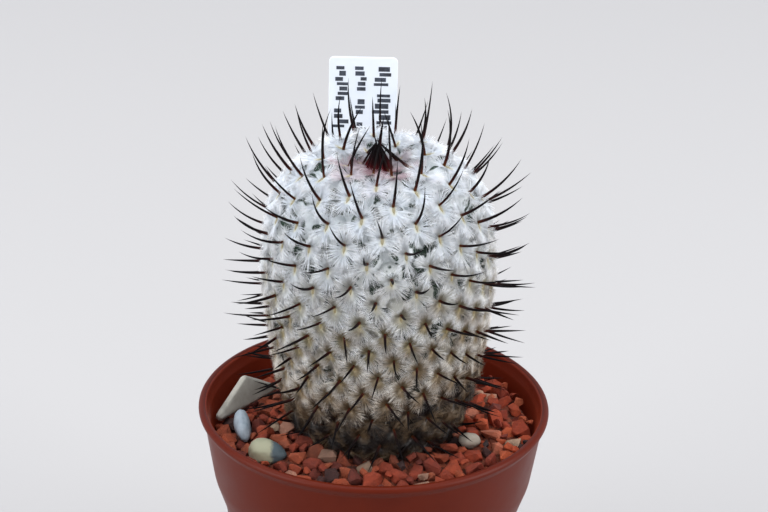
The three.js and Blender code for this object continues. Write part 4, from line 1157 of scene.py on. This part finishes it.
# %% The bed of crumbs under the chips
# How far its top is under the chips' surface, its underside, and about where its top meets the wall
BED_DROP, BED_UNDERSIDE, BED_TOP, CLEARANCE, BED_UNEVENNESS = 1.1, 41.35, 43.4, 0.35, 0.35
BED_RINGS, BED_SIDES, LEAST_STEP = 44, 160, 0.1
bed_edge = outer_radius(BED_TOP) - WALL - CLEARANCE
bed_profile = [(0, BED_UNDERSIDE), (outer_radius(BED_UNDERSIDE) - WALL - CLEARANCE, BED_UNDERSIDE)]
bed_profile += [(r, BED_TOP) for r in np.linspace(bed_edge, 0, BED_RINGS)]
bed_places, bed_faces = turned(bed_profile, BED_SIDES)
bed_places = np.array(bed_places)
for k, (x, y, z) in enumerate(bed_places):
    if z > BED_UNDERSIDE + LEAST_STEP:
        height = dressing_height(x, y) - BED_DROP
        if math.hypot(x, y) < bed_edge - LEAST_STEP:
            # two waves of about 2 mm that cross and wander
            wave = math.sin(x * 3.1 + 2 * math.sin(y * 1.7)) * math.sin(y * 2.9 + 2 * math.sin(x * 1.3))
            height += BED_UNEVENNESS * wave
        bed_places[k, 2] = height
bed = mesh_piece("dressing_bed", bed_places, bed_faces, bed_dark)
finish_piece(bed, "top_dressing")

# %% [markdown]
# ## The plant label
# A strip of stiff white plastic with rounded top corners and a pointed foot, pushed into the stones
# behind the plant. Its print is left off: plain rows of dark bars stand in its place. The strip is
# one outline with a thickness and softly rounded edges, and the bars are thin plates on its face.

# %% Materials: label plastic, semi-gloss bluish white, and its faded blue-black ink
# Constants, the size of the blotches in millimetres and their detail, and their colours
LABEL_FINISHES = {
    "label_polystyrene": ({"Roughness": 0.35, "IOR": 1.59}, 6, 5.0, [(0.35, "#CBD1DA"), (0.7, "#D3D8DF")]),
    "label_ink": ({"Roughness": 0.6}, 0.8, 4.0, [(0.3, "#171A22"), (0.7, "#3A404C")]),
}
label_materials = []
for name, (constants, blotch, detail, stops) in LABEL_FINISHES.items():
    material, tree, shader, own = new_material(name, constants, ["place"])
    worn = add(tree, "ShaderNodeTexNoise", {
        "Vector": own["place"], "Scale": 1 / (blotch * MM), "Detail": detail,
    })
    wire(tree, shader, {"Base Color": add(tree, "ShaderNodeValToRGB", {"Fac": worn}, stops=stops)})
    label_materials.append(material)
label_white, ink = label_materials
print(label_white.name, ink.name)

# %% Outline of the strip, with thickness and rounded edges
LABEL_TOP, LABEL_BOTTOM = 97.4, 29.0
LABEL_CORNER, CORNER_STEPS, LABEL_TAPER, LABEL_POINT_WIDTH, LABEL_EDGE = 0.8, 8, 9.0, 3.0, 0.12
lean = math.cos(LABEL_LEAN_BACK)
label_top, label_bottom = (LABEL_TOP - LABEL_PLACE[2]) / lean, (LABEL_BOTTOM - LABEL_PLACE[2]) / lean
half, corner_x, corner_z = LABEL_WIDTH / 2, LABEL_WIDTH / 2 - LABEL_CORNER, label_top - LABEL_CORNER
right = [(LABEL_POINT_WIDTH / 2, label_bottom), (half, label_bottom + LABEL_TAPER)]
for k in range(CORNER_STEPS + 1):
    a = math.radians(90 * k / CORNER_STEPS)
    right.append((corner_x + LABEL_CORNER * math.cos(a), corner_z + LABEL_CORNER * math.sin(a)))
strip = right + [(-x, z) for x, z in reversed(right)]
front = [(x, -LABEL_THICKNESS / 2, z) for x, z in strip]
back = [(x, LABEL_THICKNESS / 2, z) for x, z in strip]
count = len(strip)
faces = [list(range(count)), list(range(2 * count - 1, count - 1, -1))]
faces += [[k, k + count, (k + 1) % count + count, (k + 1) % count] for k in range(count)]
label = mesh_piece("plant_label", front + back, faces, label_white, smooth=False)
edge = label.modifiers.new("edge", "BEVEL")
edge.width, edge.segments, edge.limit_method = LABEL_EDGE * MM, 2, "ANGLE"
settle(label)
label_placing = Matrix.Translation(Vector(LABEL_PLACE) * MM) @ label_turn
label.data.transform(label_placing)
finish_piece(label, "label")

# %% Rows of plain bars
BAR_SIZES = {"Bar width": 1.0 * MM, "Bar height": 0.03 * MM, "Material": ink}
BAR_ROWS = [(-3.6, 1.9), (-0.4, 1.7), (3.2, 2.7)]  # where each row is, and its widest bar
ROWS_START, ROWS_END, SMALL_GAP, LARGE_GAP, SMALL_SHARE = 1.5, 46, 0.22, 1.4, 0.88
BAR_SHORTEST, BAR_LENGTH_SPREAD, BAR_SHIFT, BAR_NARROWEST, BAR_PROUD = 0.45, 0.4, 0.5, 0.5, 0.01
bar_y = -LABEL_THICKNESS / 2 - BAR_PROUD
bar_places, bar_lengths, bar_widths = [], [], []
for row_x, widest in BAR_ROWS:
    z, k = label_top - ROWS_START, 100 * (row_x + 4)  # each row has its own draws
    while z > label_top - ROWS_END:
        k += 1
        length = BAR_SHORTEST + BAR_LENGTH_SPREAD * draw(k, 60)
        bar_places.append((row_x + BAR_SHIFT * spread(k, 61), bar_y, z - length / 2))
        bar_lengths.append(length)
        bar_widths.append(widest * (BAR_NARROWEST + (1 - BAR_NARROWEST) * draw(k, 62)))
        z -= length + (SMALL_GAP if draw(k, 63) < SMALL_SHARE else LARGE_GAP)
bar_points = point_mesh("bar_points", bar_places, length=np.array(bar_lengths) * MM, width=bar_widths)
tree, given, own = new_tree("ink_bars", BAR_SIZES, ["length", "width"])
cube = add(tree, "GeometryNodeMeshCube", {"Size": (1.0, 1.0, 1.0)})
wide = add(tree, "ShaderNodeMath", {0: given["Bar width"], 1: own["width"]}, operation="MULTIPLY")
shape = add(tree, "ShaderNodeCombineXYZ", {"X": wide, "Y": given["Bar height"], "Z": own["length"]})
bars = add(tree, "GeometryNodeInstanceOnPoints", {
    "Points": given["Geometry"], "Instance": cube, "Scale": shape,
})
end_tree(tree, bars, given["Material"], smooth=False)
marks = grow("label_bars", bar_points, tree, BAR_SIZES)
marks.data.transform(label_placing)
finish_piece(marks, "label")

# %% [markdown]
# ## The loose pale stones
# Four paler pebbles lie among the red chips: an oblong white one, one half cream and half blue-grey,
# a tall pale flake, and a small pale one. Each starts as a fine ball that is squeezed to its size,
# or drawn out to the flake's corners, and pushed in and out by noise, which gives soft faces.

# %% Materials: weathered pebbles, matt and close-grained
# Name, darker and lighter colour (the two colours of the banded one), and material slot
PEBBLES = {
    "stone_white_oblong": ("white_quartz", "#7F8C96", "#A0AAB2", "white_stone"),
    "stone_two_tone": ("banded_pebble", "#98987F", "#46545A", "two_tone_stone"),
    "stone_pale_flake": ("pale_slate_flake", "#8F8C82", "#A6A298", "pale_stone"),
    "stone_pale_right": ("pale_limestone", "#857B6D", "#9C9386", "pale_stone"),
}
BAND_EDGE, BAND_BLUR = -15.4, 1.6  # where the two-tone stone changes colour, and how softly


def pebble_material(name, dark, light, banded):
    material, tree, shader, own = new_material(name, {"Roughness": 0.75}, ["place"])
    share = veins = add(tree, "ShaderNodeTexNoise", {
        "Vector": own["place"], "Scale": 1 / (1.5 * MM), "Detail": 7.0, "Roughness": 0.6,
    })
    if banded:
        split = add(tree, "ShaderNodeSeparateXYZ", {"Vector": own["place"]})
        past_edge = add(tree, "ShaderNodeMath", {
            0: split.outputs["X"], 1: BAND_EDGE * MM,
        }, operation="SUBTRACT")
        share = add(tree, "ShaderNodeMath", {
            0: past_edge, 1: 1 / (BAND_BLUR * MM), 2: veins,
        }, operation="MULTIPLY_ADD")
    tone = add(tree, "ShaderNodeValToRGB", {"Fac": share}, stops=[(0.3, dark), (0.7, light)])
    bump = add(tree, "ShaderNodeBump", {"Height": veins, "Strength": 0.5, "Distance": 0.15 * MM})
    wire(tree, shader, {"Base Color": tone, "Normal": bump})
    return material


pebble_materials = {
    name: pebble_material(*row[:3], banded=name == "stone_two_tone") for name, row in PEBBLES.items()
}
print([material.name for material in pebble_materials.values()])

# %% How a ball becomes a pebble, or a flake: a blade with a ball round each corner that can be seen
TWO_TONE_TAPER = 0.3
FLAKE_CORNERS = np.array([(-6.85, -1.0), (0.2, 2.6), (4.9, -0.4)])
CORNER_PULL, ACROSS_PULL, FLAKE_ROUGHNESS = 1.9, 1.5, 1.5
COARSE, FINE = (1.3, 0.13), (4, 0.04)  # how close the lumps are, and how deep


def pushed(v, stone_index, strength=1.0):
    """A point of a unit ball pushed in or out by a coarse and a fine noise, each stone's its own"""
    coarse = noise.noise(v * COARSE[0] + Vector((7.0 * stone_index, 0, 0)))
    fine = noise.noise(v * FINE[0] + Vector((0, 5.0 * stone_index, 0)))
    return v * (1 + strength * (COARSE[1] * coarse + FINE[1] * fine))


def flake_point(v, stone_index, thickness):
    """Where a ball's point goes on the blade: the corner it faces most, plus a small ball there"""
    weights = np.exp([CORNER_PULL * (v.x * x + ACROSS_PULL * v.y * y) for x, y in FLAKE_CORNERS])
    x, y = weights @ FLAKE_CORNERS / weights.sum()
    return Vector((x, y, 0)) + thickness * pushed(v, stone_index, FLAKE_ROUGHNESS)


def pebble_point(v, stone_index, half, taper):
    v = pushed(v, stone_index)
    thinner = 1 - taper * v.x
    return Vector((v.x * half[0], v.y * thinner * half[1], v.z * thinner * half[2]))


print(len(FLAKE_CORNERS), "corners of the flake show")

# %% The four stones, each from the same ball
bpy.ops.mesh.primitive_ico_sphere_add(subdivisions=4, radius=1.0)
ball = bpy.context.object
ball_places = [v.co.copy() for v in ball.data.vertices]
ball_faces = [tuple(p.vertices) for p in ball.data.polygons]
bpy.data.objects.remove(ball)
for stone_index, (name, (_, half, _, _)) in enumerate(STONES.items()):
    if name == "stone_pale_flake":
        shaped = [flake_point(v, stone_index, half[2]) for v in ball_places]
    else:
        taper = TWO_TONE_TAPER if name == "stone_two_tone" else 0
        shaped = [pebble_point(v, stone_index, half, taper) for v in ball_places]
    placed = [stone_frame(name) @ v for v in shaped]
    pebble = mesh_piece(name.replace("stone_", "pebble_"), placed, ball_faces, pebble_materials[name])
    finish_piece(pebble, name)

# %% [markdown]
# ## Floor, light and camera
# The plant stands on a plain pale surface that runs out of the picture. The light is that of a
# bright room: nearly shadowless and a little stronger from above, so a pale world fills everything
# and three large soft panels give the forms their shading. The camera looks down at the plant from
# the front with a long lens.

# %% Floor and light
FLOOR_DROP, FLOOR_RADIUS, FLOOR_SIDES = 0.02, 4000, 96
floor_paper, *_ = new_material("backdrop_paper", {"Roughness": 0.9, "Base Color": linear("#ACAAA9")})
floor_profile = [(0, -FLOOR_DROP), (FLOOR_RADIUS, -FLOOR_DROP)]
floor = mesh_piece("floor", *turned(floor_profile, FLOOR_SIDES), floor_paper)
floor.data.flip_normals()

world = bpy.data.worlds.new("room")
bpy.context.scene.world = world
world.use_nodes = True
background = world.node_tree.nodes["Background"]
wire(world.node_tree, background, {"Color": linear("#EFF4FF"), "Strength": 0.77})

# Square area lights that face the plant: place and width in metres, power in watts, and colour
LIT_POINT = Vector((0, 0, 0.05))
PANELS = {
    "ceiling": ((-0.1, 0.0, 1.1), 1.3, 11.8, "#FBFDFF"),
    "window": ((-0.95, -0.5, 0.4), 0.9, 12.8, "#FFFFFF"),
    "wall": ((1.0, -0.35, 0.4), 0.9, 14.2, "#FFFFFF"),
}
for name, (place, width, power, code) in PANELS.items():
    light = bpy.data.lights.new(name, "AREA")
    light.size, light.energy, light.color = width, power, linear(code)[:3]
    lamp = in_scene(name, light)
    lamp.location = place
    lamp.rotation_euler = (LIT_POINT - Vector(place)).to_track_quat("-Z", "Y").to_euler()
print("floor, world and", len(PANELS), "panels")

# %% Camera, as fitted to the ellipse of the pot's rim
# Its axes to the right, up and ahead came out of the fit, and are nearly square to each other
camera_data = bpy.data.cameras.new("camera")
camera_data.lens, camera_data.sensor_width = 104.06, 36.0
camera_data.clip_start, camera_data.clip_end = 0.01, 20.0
camera = in_scene("camera", camera_data)
right_axis, up_axis = Vector((0.99975, 0.00644, 0.02164)), Vector((-0.02236, 0.41389, 0.91005))
ahead_axis = Vector((0.0031, 0.9103, -0.41393))
turned_to = Matrix((right_axis, up_axis, -ahead_axis)).transposed()
camera.matrix_world = Matrix.Translation((0, -0.30854, 0.21523)) @ turned_to.to_4x4()
bpy.context.scene.camera = camera
bpy.context.scene.view_settings.view_transform = "Standard"
print("camera", [round(1000 * x) for x in camera.location], "mm")
